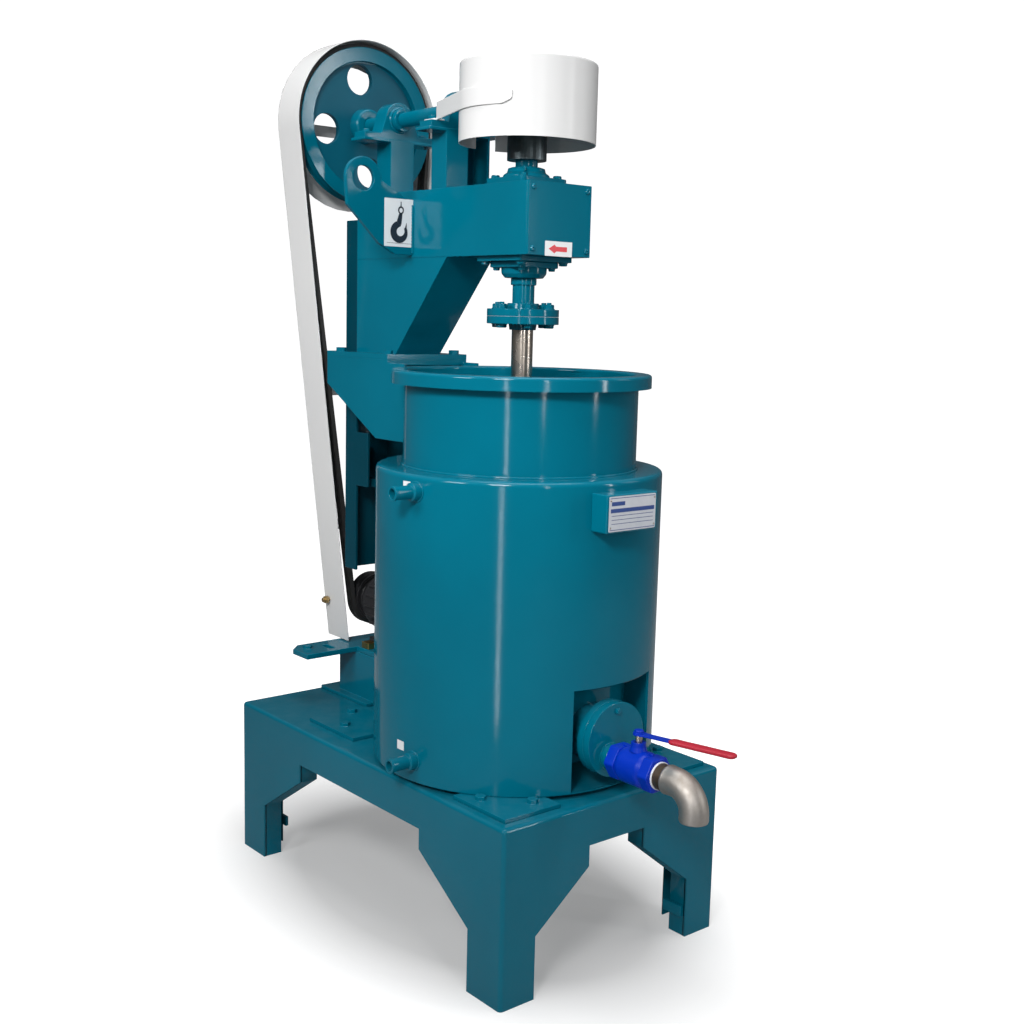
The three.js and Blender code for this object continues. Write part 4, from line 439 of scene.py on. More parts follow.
def hexagon_head(x, y, base, flats, height, axis="z", way=1.0):
    """A hexagon head on a washer: a six-sided ring whose top narrows to a round, domed face."""
    reach = flats / 2
    rim = reach * 1.28
    sunk, raised = base - way, base + 2 * way
    washer = [[0.0, sunk], [rim, sunk], [rim, raised], [0.0, raised]]
    top = base + way * height
    shoulder = top - way * height * 0.18
    dome = top + way * 0.2
    head = [
        [0.0, base + way], [reach, base + way], [reach, shoulder],
        [reach * 0.86, top], [reach * 0.4, dome], [0.0, dome],
    ]
    ring = polygon(6, 2.0, 0.08, 0.3)
    return together(
        turned(washer, (x, y), axis, 0.5, 32, closed=False),
        lofted(rounded(head, 0.8, closed=False), ring, (x, y), axis),
    )


def gapped(rows, gap, facing, steps):
    """A turned sheet with a slot: row (r, h) runs from the slot's one side, facing + asin(gap / r),
    right round to its other side."""
    r, h = rows.T
    half = np.arcsin(np.clip(gap / np.maximum(r, 1.0), 0.0, 1.0))[:, None]
    share = np.linspace(0.0, 1.0, steps + 1)
    angle = facing + half + share * (TURN - 2 * half)
    points = spread("z", r[:, None] * np.cos(angle), r[:, None] * np.sin(angle), h[:, None])
    return points.reshape(-1, 3), quads(len(r), steps + 1, False, False)


def sections(outline, wide, tall):
    """An outline for each place of a path: (u * wide, v * tall)."""
    wide, tall = np.broadcast_arrays(wide, tall)
    return np.asarray(outline, float) * np.stack([wide, tall], axis=-1)[:, None]


def carried(path, section, across, closed=False):
    """A section carried along a flat path: path + across * u + (tangent x across) * v for each
    (u, v) of the section. The ends of an open path are filled from their middles."""
    path = np.asarray(path, float)
    across = np.asarray(across, float)
    if closed:
        tangent = np.roll(path, -1, axis=0) - np.roll(path, 1, axis=0)
    else:
        tangent = np.gradient(path, axis=0)
    side = np.cross(tangent, across)
    side /= np.linalg.norm(side, axis=1, keepdims=True)
    section = np.broadcast_to(section, (len(path), *np.shape(section)[-2:]))
    points = path[:, None] + across * section[..., :1] + side[:, None] * section[..., 1:]
    if not closed:
        ends = points[[0, -1]].mean(axis=1, keepdims=True)
        ends = np.broadcast_to(ends, (2, *points.shape[1:]))
        points = np.concatenate([ends[:1], points, ends[1:]])
    rows, columns = points.shape[:2]
    return points.reshape(-1, 3), quads(rows, columns, closed, True)


def bead(path, radius, across, closed=False, pitch=5.0):
    """A weld bead: a round section whose radius swells by a sixth once each pitch of the path."""
    path = np.asarray(path, float)
    steps = np.linalg.norm(np.diff(path, axis=0), axis=1)
    travelled = np.concatenate([[0.0], np.cumsum(steps)])
    swell = 1.0 + np.sin(travelled / pitch * TURN) / 6
    section = circle(8)[None] * (radius * swell)[:, None, None]
    return carried(path, section, across, closed)


def together(*shells):
    """Several shells as one: their points in a row and their faces renumbered."""
    starts = np.cumsum([0] + [len(points) for points, _ in shells[:-1]])
    points = np.concatenate([points for points, _ in shells])
    faces = np.concatenate([faces + start for (_, faces), start in zip(shells, starts)])
    return points, faces


def turned_about(shell, angle, centre):
    """A shell turned about a vertical axis: (x cos a - y sin a, x sin a + y cos a)."""
    points, faces = shell
    c, s = math.cos(angle), math.sin(angle)
    matrix = np.array([[c, s, 0.0], [-s, c, 0.0], [0.0, 0.0, 1.0]])
    centre = np.asarray(centre, float)
    return (points - centre) @ matrix + centre, faces


def bolt_square(half, base, flats, height, way=1.0):
    """Four hexagon heads on the corners of a square."""
    return [
        hexagon_head(sx * half, sy * half, base, flats, height, way=way)
        for sx in (-1, 1) for sy in (-1, 1)
    ]


def bolt_circle(radius, base, flats, height, way=1.0):
    """Six hexagon heads on a circle."""
    return [
        hexagon_head(radius * math.cos(a), radius * math.sin(a), base, flats, height, way=way)
        for a in SIXTHS
    ]


# Pieces

FLAT_WITHIN = math.radians(1)
SHARP_FROM = math.radians(32)
BEVEL_FROM = math.radians(35)


def polish(piece, wall=0.0, edge=0.0, even=False):
    """The modifiers that finish a mesh: a wall round its sheet, rounded edges, even shading."""
    if wall:
        solid = piece.modifiers.new("wall", "SOLIDIFY")
        solid.thickness = wall * MM
        solid.offset = 0.0
        solid.use_even_offset = even
    if edge:
        round_off = piece.modifiers.new("edges", "BEVEL")
        round_off.width = edge * MM
        round_off.segments = 2
        round_off.limit_method = "ANGLE"
        round_off.angle_limit = BEVEL_FROM
        round_off.miter_outer = "MITER_ARC"
    shade = piece.modifiers.new("even_shading", "WEIGHTED_NORMAL")
    shade.keep_sharp = True


def settle(piece, nodes, slot, finish, body):
    """Sets a piece's finish, the body that it rides on and the CAD pieces that it stands for."""
    slot = slot or SLOT_OF[nodes[0]]
    piece.data.materials.clear()
    piece.data.materials.append(finish or FINISH[slot])
    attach(piece, body or BODY_OF[nodes[0]])
    if nodes:
        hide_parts(*nodes)
    return piece


def put(name, shell, nodes=(), slot=None, finish=None, body=None, wall=0.0, edge=0.0, even=False):
    """One finished piece from a shell: merged where rows meet, with its faces turned outwards."""
    points, faces = shell
    mesh = bpy.data.meshes.new(name)
    mesh.from_pydata((points * MM + ORIGIN).tolist(), [], faces.tolist())
    shape = bmesh.new()
    shape.from_mesh(mesh)
    bmesh.ops.remove_doubles(shape, verts=shape.verts, dist=MERGE)
    bmesh.ops.dissolve_degenerate(shape, edges=shape.edges, dist=MERGE)
    bmesh.ops.recalc_face_normals(shape, faces=shape.faces)
    shape.to_mesh(mesh)
    shape.free()
    mesh.shade_smooth()
    piece = bpy.data.objects.new(name, mesh)
    bpy.context.scene.collection.objects.link(piece)
    polish(piece, wall, edge, even)
    return settle(piece, nodes, slot, finish, body)


def soften(node, edge, finish=None):
    """A copy of a CAD piece with its loose triangles merged and, where its edges are rounded, its
    flat faces made whole."""
    mesh = NODES[node].data.copy()
    shape = bmesh.new()
    shape.from_mesh(mesh)
    bmesh.ops.remove_doubles(shape, verts=shape.verts, dist=LOOSE)
    if edge:
        bmesh.ops.dissolve_limit(shape, angle_limit=FLAT_WITHIN, verts=shape.verts, edges=shape.edges)
    shape.to_mesh(mesh)
    shape.free()
    mesh.shade_smooth()
    mesh.set_sharp_from_angle(angle=SHARP_FROM)
    piece = bpy.data.objects.new(f"{node}_finished", mesh)
    bpy.context.scene.collection.objects.link(piece)
    polish(piece, edge=edge)
    return settle(piece, (node,), None, finish, None)


# Plates, boxes and castings that keep their CAD shape

SOFT_EDGES = {
    "tank_lug_front_left": 1.2, "tank_lug_front_right": 1.2,
    "tank_lug_rear_left": 1.2, "tank_lug_rear_right": 1.2,
    "name_plate_box": 3.0, "tank_bracket": 1.6, "head_column": 1.8, "head_arm": 2.5, "guard_post": 1.6,
    "rear_pedestal": 1.8, "front_pedestal": 1.8, "rear_pillow_block": 1.6, "front_pillow_block": 1.6,
    "belt_guard_back": 0.0, "motor_body": 1.2, "fan_cowl": 0.6, "terminal_box": 2.5,
    "motor_rail_front": 1.5, "motor_rail_rear": 1.5, "motor_plate": 1.8, "motor_stand": 1.8,
}
# The guard post gets the darker teal copy, its painted shade.
OWN_FINISH = {"guard_post": SHADED_POST_PAINT}


def add_softened_pieces():
    """The pieces above, with the radius of their edges in millimetres."""
    for node, edge in SOFT_EDGES.items():
        soften(node, edge, OWN_FINISH.get(node))


def finish_inner_pieces():
    """Pieces that keep their CAD mesh: they are closed in, and get the finish of their slot."""
    for node in ("valve_ball", "bevel_gear", "bevel_pinion", "motor_fan"):
        cad = NODES[node]
        cad.data.materials.clear()
        cad.data.materials.append(FINISH[SLOT_OF[node]])


# Table

ARCH_TOP, GUSSET_TOP, GUSSET_FOOT = 323.0, 273.0, 150.0  # heights from the floor
SHORT_SIDE, LONG_SIDE = (94.0, 158.0), (116.0, 190.0)  # widths of a foot and of its gusset


def arch_lip(start, along, out, reach):
    """A lip folded inwards along one side of an arch: from start + along * reach - out * behind to
    the lip's depth, at the height of the arch over each reach."""
    behind, depth, clear, tuck = 3.0, 50.0, 0.5, 6.0
    line = start + along * reach[:, None]
    rows = np.stack([line - out * behind, line - out * depth], axis=1)
    heights = np.array([clear, GUSSET_FOOT, GUSSET_TOP, ARCH_TOP + tuck])
    heights = np.broadcast_to(heights[:, None, None], (4, 2, 1))
    return np.concatenate([rows, heights], axis=-1).reshape(-1, 3), quads(4, 2, False, False)


def foot_clip(start, along, out, reach, towards):
    """A small flat clip inside a foot, beside its lip."""
    near_lip, far_lip, near_wall, far_wall = 2.0, 10.0, 6.0, 66.0
    first = start + along * (reach + towards * near_lip) - out * near_wall
    last = start + along * (reach + towards * far_lip) - out * far_wall
    x, y = sorted((first[0], last[0])), sorted((first[1], last[1]))
    return bar(x, y, (50.0, 77.0), 1.2)


def add_table():
    """One folded sheet: from the middle of the top over its rounded edge and down to the edge of the
    arches. A point lies at wall(s) - normal(s) * inset, at the height of its row or of the arch above
    s, whichever is higher. Each foot has a lip folded inwards, and on the short sides a clip."""
    low, high = limits("table_frame")
    wall, edge, tuck = 8.0, 6.0, 2.0
    top = high[2] - wall / 2
    half = (high[:2] - low[:2]) / 2 - wall / 2
    centre = (high[:2] + low[:2]) / 2
    bend = np.linspace(0.0, QUARTER, 6)
    places, normals, feet, lips, clips = [], [], [], [], []
    for index, corner in enumerate([(-1, -1), (1, -1), (1, 1), (-1, 1)]):
        start = centre + half * corner
        turn = index * QUARTER
        along = np.array([round(math.cos(turn)), round(math.sin(turn))], float)
        out = np.array([along[1], -along[0]])
        length = 2 * half[index % 2]
        foot, gusset = LONG_SIDE if index % 2 else SHORT_SIDE
        reach = np.array([edge, foot, foot, foot + gusset, foot + gusset])
        reach = np.concatenate([reach, length - reach[::-1]])
        rises = np.array([0.0, 0.0, GUSSET_FOOT, GUSSET_TOP, ARCH_TOP])
        places.append(start + along * reach[:, None])
        normals.append(np.tile(out, (len(reach), 1)))
        feet.append(np.concatenate([rises, rises[::-1]]))
        around = turn - QUARTER + bend[1:-1]
        outwards = np.stack([np.cos(around), np.sin(around)], axis=-1)
        places.append(start + along * (length - edge) - out * edge + edge * outwards)
        normals.append(outwards)
        feet.append(np.zeros(len(around)))
        lip_reach = np.array([foot, foot, foot + gusset, foot + gusset]) - tuck
        for way, towards in ((lip_reach, 1.0), (length - lip_reach, -1.0)):
            lips.append(arch_lip(start, along, out, way))
            if index % 2 == 0:
                clips.append(foot_clip(start, along, out, way[0], towards))
    place, normal, feet = np.concatenate(places), np.concatenate(normals), np.concatenate(feet)
    insets = np.concatenate([edge * (1 - np.sin(bend)), np.zeros(4)])
    rolled = top - edge * (1 - np.cos(bend))
    heights = np.concatenate([rolled, [ARCH_TOP, GUSSET_TOP, GUSSET_FOOT, 0.0]])
    flat = place[None] - normal[None] * insets[:, None, None]
    level = np.maximum(heights[:, None], feet[None])[..., None]
    middle_row = np.broadcast_to([*centre, top], (1, len(place), 3))
    points = np.concatenate([middle_row, np.concatenate([flat, level], axis=-1)])
    shell = points.reshape(-1, 3), quads(len(points), len(place), False, True)
    put("table_sheet", shell, ("table_frame",), wall=wall, even=True)
    put("table_lips", together(*lips), slot="teal_paint", body="root", wall=4.0, even=True)
    put("table_clips", together(*clips), slot="teal_paint", body="root")


# Tank

JACKET = 350.0  # the jacket's outer radius
RIM_REACH = 31.0  # how far the vessel's rim stands out from its wall


def add_jacket():
    """A turned sheet without the faces in front of the outlet, the plates of that window, which reach
    back to the vessel, and the weld where the vessel comes up through the top."""
    low, high = limits("cooling_jacket")
    wall, top_edge, columns = 5.0, 10.0, 25
    left, right, lintel = -102.5, 162.5, 675.5
    radius = high[0] - wall / 2
    floor, top = low[2] + wall / 2, high[2] - wall / 2
    neck = limits("grinding_vessel")[1][0] - RIM_REACH
    outline = [[0.0, floor], [radius, floor], [radius, top], [neck, top]]
    profile = rounded(outline, [0, 0.5, top_edge, 0], 6, closed=False)
    bottom_rows = profile[profile[:, 1] < floor + 3.0]
    upper_rows = profile[profile[:, 1] > top - 30.0]
    up_to_lintel = np.linspace(floor + 40.0, lintel, 6)
    over_lintel = np.linspace(lintel + 60.0, top - 40.0, 8)
    heights = np.concatenate([[floor + 6.0], up_to_lintel, over_lintel])
    wall_rows = np.stack([np.full(len(heights), radius), heights], axis=-1)
    rows = np.concatenate([bottom_rows, wall_rows, upper_rows])
    jamb_right = math.acos(right / radius)
    jamb_left = math.acos(left / radius)
    across = np.linspace(-jamb_left, -jamb_right, columns)
    around = np.linspace(-jamb_right, TURN - jamb_left, 104)
    angle = np.concatenate([across, around[1:-1]])
    ring = np.stack([np.cos(angle), np.sin(angle)], axis=-1)
    points, faces = lofted(rows, ring)
    row, column = faces[:, 0] // len(ring), faces[:, 0] % len(ring)
    face_top = rows[np.minimum(row + 1, len(rows) - 1), 1]
    window = (column < columns - 1) & (row >= len(bottom_rows) - 1) & (face_top <= lintel + 0.1)
    shell = points, faces[~window]
    put("cooling_jacket_shell", shell, ("cooling_jacket",), wall=wall, edge=1.0)

    x = np.linspace(left, right, columns)[:, None]
    front, back = -np.sqrt(radius ** 2 - x ** 2), -np.sqrt(neck ** 2 - x ** 2)
    y = front + (back - front) * np.linspace(0.0, 1.0, 3)
    head = spread("z", x, y, lintel).reshape(-1, 3), quads(columns, 3, False, False)
    put("jacket_window_head", head, slot="teal_paint", body="root", wall=wall)

    def jamb(x):
        """An upright plate from the shell back to the vessel, at one x."""
        front = -math.sqrt(radius ** 2 - x ** 2)
        back = -math.sqrt(neck ** 2 - x ** 2)
        return bar((x - wall / 2, x + wall / 2), (front + 1.5, back), (low[2], lintel), 0.6)

    put("jacket_window_jambs", together(jamb(left), jamb(right)), slot="teal_paint", body="root")
    steps, weld_gap, weld_rise, weld = 180, 2.0, 1.0, 3.2
    height = np.full((steps, 1), top + wall / 2 + weld_rise)
    ring = np.concatenate([circle(steps, neck + weld_gap), height], axis=1)
    seam = bead(ring, weld, (0, 0, 1), closed=True, pitch=7.0)
    put("vessel_weld", seam, slot="teal_paint", body="root")


def add_vessel():
    """A turned sheet from the middle of the floor to the lip of the rim, with a round gap for the
    outlet: a row at height h has a gap of sqrt(hole^2 - (h - outlet)^2) to both sides."""
    low, high = limits("grinding_vessel")
    wall, foot_edge, lip, hole = 6.0, 22.0, 32.0, 58.0
    rim = high[0] - wall / 2
    radius = rim - RIM_REACH
    floor, top = low[2] + wall / 2, high[2] - wall / 2
    outlet = middle("outlet_cover")[2]
    outline = [[0.0, floor], [radius, floor], [radius, top], [rim, top], [rim, high[2] - lip]]
    profile = rounded(outline, [0, foot_edge, 4.0, 5.0, 0], 6, closed=False)
    dips = outlet + hole * np.sin(np.linspace(-QUARTER, QUARTER, 25))
    corner_end = np.argmax(profile[:, 1] > floor + foot_edge - 1.0)
    walls = np.stack([np.full(25, radius), dips], axis=-1)
    rising = np.linspace(outlet + hole + 60.0, top - 60.0, 8)
    above = np.stack([np.full(8, radius), rising], axis=-1)
    rows = np.concatenate([profile[:corner_end], walls, above, profile[corner_end + 1:]])
    gap = np.sqrt(np.clip(hole ** 2 - (rows[:, 1] - outlet) ** 2, 0.0, None))
    gap = np.where(rows[:, 0] == radius, gap, 0.0)
    shell = gapped(rows, gap, FRONT, 144)
    put("grinding_vessel_shell", shell, ("grinding_vessel",), wall=wall, edge=0.8)


def add_name_plate():
    """A plate with plain printed bars on four small pins: a line along its top and its foot, a short
    field, a band and three rules."""
    low, high = limits("name_plate_box")
    face = low[1]
    x, z = (low[0] + high[0]) / 2, (low[2] + high[2]) / 2
    width, height = high[0] - low[0] - 12.0, high[2] - low[2] - 8.0
    plate = prism(rectangle(width, height, 3.0, (x, z)), face - 1.0, face + 0.2, "y", 0.3)
    put("name_plate", plate, slot="white_paint", finish=PLATE_METAL, body="root")

    def line(wide, tall, dx, dz):
        """A printed bar at a place from the plate's middle."""
        return prism(rectangle(wide, tall, 0.4, (x + dx, z + dz)), face - 1.25, face - 0.8, "y", 0.1)

    rules = [line(width - 16.0, 1.2, 0.0, dz) for dz in (-22.0, -13.0, -4.0)]
    field = line(width * 0.28, 9.0, -width * 0.31, 23.0)
    borders = [line(width - 6.0, 1.4, 0.0, dz) for dz in (-height / 2 + 4.0, height / 2 - 4.0)]
    band = line(width - 10.0, 9.0, 0.0, 7.5)
    bars = together(*rules, field, *borders, band)
    put("name_plate_print", bars, slot="white_paint", finish=PLATE_BLUE, body="root")
    pin_x, pin_z = width / 2 - 5.0, height / 2 - 9.0
    pins = [
        rod(2.2, face - 2.2, face, (x + sx * pin_x, z + sz * pin_z), "y", 0.8, 16)
        for sx in (-1, 1) for sz in (-1, 1)
    ]
    put("name_plate_pins", together(*pins), slot="stainless", body="root")


def add_outlet():
    """The flange with its neck and weld, and its cover with one screw. The cover's hole is off its
    middle: a ring's centre moves from the drain's axis to the flange's as its radius grows."""
    low, high = limits("outlet_flange")
    x, z = (low[0] + high[0]) / 2, (low[2] + high[2]) / 2
    radius = (high[0] - low[0]) / 2
    bore, neck, thick = 58, 68, 20
    front, shoulder, back = low[1], low[1] + thick, high[1] + 12
    outline = [
        [bore, front], [radius, front], [radius, shoulder], [neck, shoulder], [neck, back], [bore, back],
    ]
    flange = turned(outline, (x, z), "y", 1.5)
    angle = np.linspace(0, TURN, 81)[:-1]
    ring = spread("y", neck * np.cos(angle), neck * np.sin(angle), front + (thick + 1))
    weld = bead(ring + [x, 0, z], 3.0, (0, 1, 0), closed=True, pitch=6.0)
    put("outlet_flange_turned", together(flange, weld), ("outlet_flange",))
    screw_flats, screw_height, hole = 13.0, 6.0, 30.5
    low, high = limits("outlet_cover")
    face, back = low[1] + screw_height, high[1]
    drain = middle("drain_nipple")
    profile = rounded([[hole, face], [radius, face], [radius, back], [hole, back]], 1.8)
    share = ((profile[:, :1] - hole) / (radius - hole)).clip(0, 1)
    centre = np.array([[drain[0], drain[2]]]) * (1 - share) + np.array([[x, z]]) * share
    cover = lofted(profile, circle(96), centre, "y", closed=True)
    screw = hexagon_head(x, z + 68.0, face, screw_flats, screw_height, "y", -1.0)
    put("outlet_cover_turned", together(cover, screw), ("outlet_cover",))


# Drain

PIPE, PIPE_BORE = 30.15, 26.55


def add_drain():
    """The pieces along the drain's axis, which runs towards -Y at one x and one height."""
    axis = (middle("drain_nipple")[0], middle("drain_nipple")[2])
    add_nipples(axis)
    add_valve_body(axis)
    add_valve_lever(axis)
    add_elbow(axis)


def add_nipples(axis):
    """The drain nipple with its weld, the tail nipple with seven threads, and the thread tape that
    shows at both ends of the valve."""
    low, high = limits("drain_nipple")
    pipe = tube(PIPE, PIPE_BORE, low[1], high[1] - 0.5, axis, "y")
    put("drain_nipple_pipe", pipe, ("drain_nipple",))
    end = high[1]
    weld = [[PIPE - 1, end - 22], [PIPE + 2.5, end - 21], [PIPE + 3.5, end - 19.5], [PIPE - 1, end - 19]]
    put("drain_weld", turned(weld, axis, "y", 0.8), slot="teal_paint", body="root")

    low, high = limits("tail_nipple")
    threads, half_pitch, depth, first = 7, 1.15, 0.9, 14.0
    step = np.arange(threads * 2)
    ridges = np.stack([PIPE - depth * (step % 2), low[1] + first + step * half_pitch], axis=-1)
    front_rim = [[PIPE_BORE, low[1]], [PIPE - 0.5, low[1]]]
    rear_rim = [[PIPE, high[1]], [PIPE_BORE, high[1]]]
    profile = np.concatenate([front_rim, ridges, rear_rim])
    tail = lofted(profile, circle(64), axis, "y", closed=True)
    put("tail_nipple_pipe", tail, ("tail_nipple",))

    low, high = limits("valve_body")
    half, gap = 2.5, 2.2
    tapes = [
        tube(PIPE + 1.6, PIPE - 1, y - half, y + half, axis, "y", 1.2)
        for y in (low[1] - gap, high[1] + gap)
    ]
    put("thread_tapes", together(*tapes), slot="white_paint", finish=TAPE, body="root")


def valve_end(axis, low, high, chamfer):
    """A bored, six-sided end of the valve: its rows (r, y) go from a circle at the bore to a hexagon
    at the flats."""
    bore, flats = 30.4, 38.0
    hexagon = polygon(6, 2.0, 0.12, 0.0)
    rows = rounded([[bore, low], [flats, low], [flats, high], [bore, high]], chamfer, 4)
    share = ((rows[:, :1] - bore) / (flats - bore)).clip(0, 1)[:, :, None]
    ring = circle(len(hexagon))[None] * (1 - share) + hexagon[None] * share
    a = axis[0] + rows[:, :1] * ring[..., 0]
    b = axis[1] + rows[:, :1] * ring[..., 1]
    return spread("y", a, b, rows[:, 1:]).reshape(-1, 3), quads(len(rows), len(hexagon), True, True)


def add_valve_body(axis):
    """A casting: two six-sided ends with their outer rims chamfered, a belly between them, the boss
    of the stem, and a rib above and below."""
    low, high = limits("valve_body")
    front, rear, top = low[1], high[1], high[2]
    stem_y = (front + rear) / 2
    ends = [
        valve_end(axis, front, front + 30, [1.0, 5.0, 2.5, 1.0]),
        valve_end(axis, rear - 30, rear, [1.0, 2.5, 5.0, 1.0]),
    ]
    bore, cavity, waist, full = 26.8, 34.0, 36.5, 42
    outline = [
        [bore, front + 17], [waist, front + 17], [waist, front + 29], [full, front + 38],
        [full, rear - 38], [waist, rear - 29], [waist, rear - 17], [bore, rear - 17],
        [cavity, rear - 50], [cavity, front + 50],
    ]
    belly = turned(outline, axis, "y", 5.0)
    hole, foot, neck, seat = 8.6, 21, 17, axis[1] + 38
    outline = [[hole, seat], [foot, seat], [neck, top - 9], [neck, top], [hole, top]]
    boss = turned(outline, (axis[0], stem_y), "z", 1.5, 64)

    def rib(z):
        """A flat rib along the belly."""
        return bar((axis[0] - 3, axis[0] + 3), (front + 22, rear - 22), (z - 3, z + 3), 2.0)

    body = together(*ends, belly, boss, rib(axis[1] - 39), rib(axis[1] + 39))
    put("valve_body_cast", body, ("valve_body",))


def add_valve_lever(axis):
    """The lever's blade with its nut, and its dipped grip. Each is carried along +X from the stem and
    then turned to the lever's rest direction. Their widths follow their distance x from the stem:
    slim + eye * exp(-(x / spread)^2) for the blade, and a rounded end at both ends of the grip."""
    low, high = limits("valve_body")
    stem = np.array([axis[0], (low[1] + high[1]) / 2, 0.0])
    rest_angle = math.radians(14.0)
    grip_low, grip_high = limits("lever_grip")
    height = (grip_low[2] + grip_high[2]) / 2

    def laid(shell):
        """Turned from along +X at the stem to the lever's rest direction."""
        points, faces = shell
        return turned_about((points + stem, faces), rest_angle - QUARTER, stem)

    def along_lever(x, section):
        """A section carried along the lever, laid in its place."""
        path = np.stack([x, np.zeros(len(x)), np.full(len(x), height)], axis=-1)
        return laid(carried(path, section, (0, 1, 0)))

    x = np.linspace(-14.0, 224.0, 60)
    slim, eye, eye_spread, half_thick = 11.0, 5.0, 14.0, 2.0
    half_width = slim + eye * np.exp(-((x / eye_spread) ** 2))
    half_width *= np.sqrt(np.clip(1 - ((x[0] + 15.0 - x) / 15.5).clip(0, 1) ** 2, 0.02, 1))
    blade = along_lever(x, sections(soft_square(0.35), half_width, half_thick))
    nut_height = limits("valve_lever")[1][2] - height - 2.5
    nut = laid(hexagon_head(0.0, 0.0, height + half_thick, 20.0, nut_height))
    put("valve_lever_blade", together(blade, nut), ("valve_lever",))

    first, last, half_wide, half_tall, squareness = 78.0, 240.0, 13.5, 5.5, 0.6
    x = first + (last - first) * (1 - np.cos(np.linspace(0, math.pi, 72))) / 2
    inward = np.minimum(x - first, last - x)
    bulge = np.sqrt(np.clip(1 - ((half_wide - inward) / half_wide).clip(0, 1) ** 2, 0.0, 1.0))
    ripple = 1.0 + 0.02 * np.sin(x / 11.0)
    wide = half_wide * (0.25 + 0.75 * bulge) * ripple
    tall = half_tall * (0.35 + 0.65 * bulge)
    oval = np.sign(circle(32)) * np.abs(circle(32)) ** squareness
    put("lever_grip_dipped", along_lever(x, sections(oval, wide, tall)), ("lever_grip",))


def add_elbow(axis):
    """A pipe carried round a quarter turn, a little fuller at its entry, with an open bore: its outer
    rows from entry to exit, then its inner rows back."""
    low, high = limits("outlet_elbow")
    bend, straight, radius, bore, sides = 58.0, 20.0, 32.4, 26.5, 64
    fuller, fade, rim = 1.6, 2.5, 1.2
    face = high[1]
    centre_y, centre_z = face - straight, axis[1] - bend
    turn = np.linspace(0.0, QUARTER, 40)
    entry = np.linspace(face, centre_y, 10)[:-1]
    drop = np.linspace(centre_z, low[2], 6)[1:]
    y = np.concatenate([entry, centre_y - bend * np.sin(turn), np.full(len(drop), centre_y - bend)])
    z = np.concatenate([np.full(len(entry), axis[1]), centre_z + bend * np.cos(turn), drop])
    path = np.stack([np.full(len(y), axis[0]), y, z], axis=-1)
    reach = radius + fuller * np.exp(-np.arange(len(y)) / fade)
    reach[[0, -1]] -= rim
    outer, _ = carried(path, sections(circle(sides), reach, reach), (1, 0, 0))
    inner, _ = carried(path, circle(sides) * bore, (1, 0, 0))
    rows = len(path)
    outer = outer.reshape(rows + 2, sides, 3)[1:-1]
    inner = inner.reshape(rows + 2, sides, 3)[1:-1][::-1]
    points = np.concatenate([outer, inner]).reshape(-1, 3)
    shell = points, quads(2 * rows, sides, True, True)
    put("outlet_elbow_cast", shell, ("outlet_elbow",), finish=CAST_ELBOW)


def add_water_nozzles():
    """A short pipe with a turned collar and a lip, and a weld bead that follows the jacket's curve:
    x = -sqrt(radius^2 - y^2)."""
    bore, pipe, lip, collar, seam = 11.5, 16, 17.2, 21, 22
    for name in ("water_nozzle_upper", "water_nozzle_lower"):
        y, z = middle(name)[1:]
        end, root = limits(name)[0][0], -math.sqrt(JACKET ** 2 - y ** 2)
        outline = [
            [bore, root + 1], [collar, root + 1], [collar, root - 15], [pipe, root - 17],
            [pipe, end + 10], [lip, end + 9], [lip, end], [bore, end],
        ]
        body = turned(outline, (y, z), "x", 1.2, 64)
        angle = np.linspace(0, TURN, 60, endpoint=False)
        ring_y, ring_z = y + seam * np.cos(angle), z + seam * np.sin(angle)
        ring = np.stack([-np.sqrt((JACKET + 0.5) ** 2 - ring_y ** 2), ring_y, ring_z], axis=-1)
        weld = bead(ring, 2.6, (1, 0, 0), closed=True, pitch=5.0)
        put(f"{name}_turned", together(body, weld), (name,))


# Head

def add_end_cover():
    """The arm's end cover: a thin plate with a rounded rim and four domed screws with a socket, and a
    label with an arrow that shows which way the spindle turns."""
    low, high = limits("arm_end_cover")
    dome_height, inset = 6.0, 14.0
    face, back = low[1] + dome_height, high[1]
    x, z = (low[0] + high[0]) / 2, (low[2] + high[2]) / 2
    width, height = high[0] - low[0], high[2] - low[2]
    plate = prism(rectangle(width, height, 2.0, (x, z)), face, back, "y", 1.2)
    dome = [
        [0.0, face + 1], [7.0, face + 1], [7.0, face - 2.0], [4.5, face - 4.6],
        [2.4, face - 5.0], [2.0, face - 2.6], [0.0, face - 2.6],
    ]
    out_x, out_z = width / 2 - inset, height / 2 - inset
    screws = [
        turned(dome, (x + sx * out_x, z + sz * out_z), "y", 1.2, 32, closed=False)
        for sx in (-1, 1) for sz in (-1, 1)
    ]
    put("arm_end_cover_plate", together(plate, *screws), ("arm_end_cover",))
    label = prism(rectangle(84.0, 34.0, 1.0, (-3.0, 1668.0)), face - 0.5, face, "y", 0.1)
    put("arrow_label", label, slot="white_paint", finish=LABEL_WHITE, body="root")
    arrow = [[-30, 0], [-12, 10], [-12, 5.5], [27, 5.5], [27, -5.5], [-12, -5.5], [-12, -10]]
    mark = flat_mark(arrow, (-4.0, 1667.5), face - 0.6)
    put("arrow_mark", mark, slot="red_grip", finish=LABEL_RED, body="root", wall=0.2)


def flat_mark(outline, at, y):
    """A flat printed mark facing the drain: its outline filled by one fan from its middle."""
    outline = np.asarray(outline, float) + np.asarray(at, float)
    ring = np.stack([outline[:, 0], np.full(len(outline), y), outline[:, 1]], axis=-1)
    hub = np.broadcast_to([at[0], y, at[1]], ring.shape)
    return np.concatenate([hub, ring]), quads(2, len(outline), False, True)


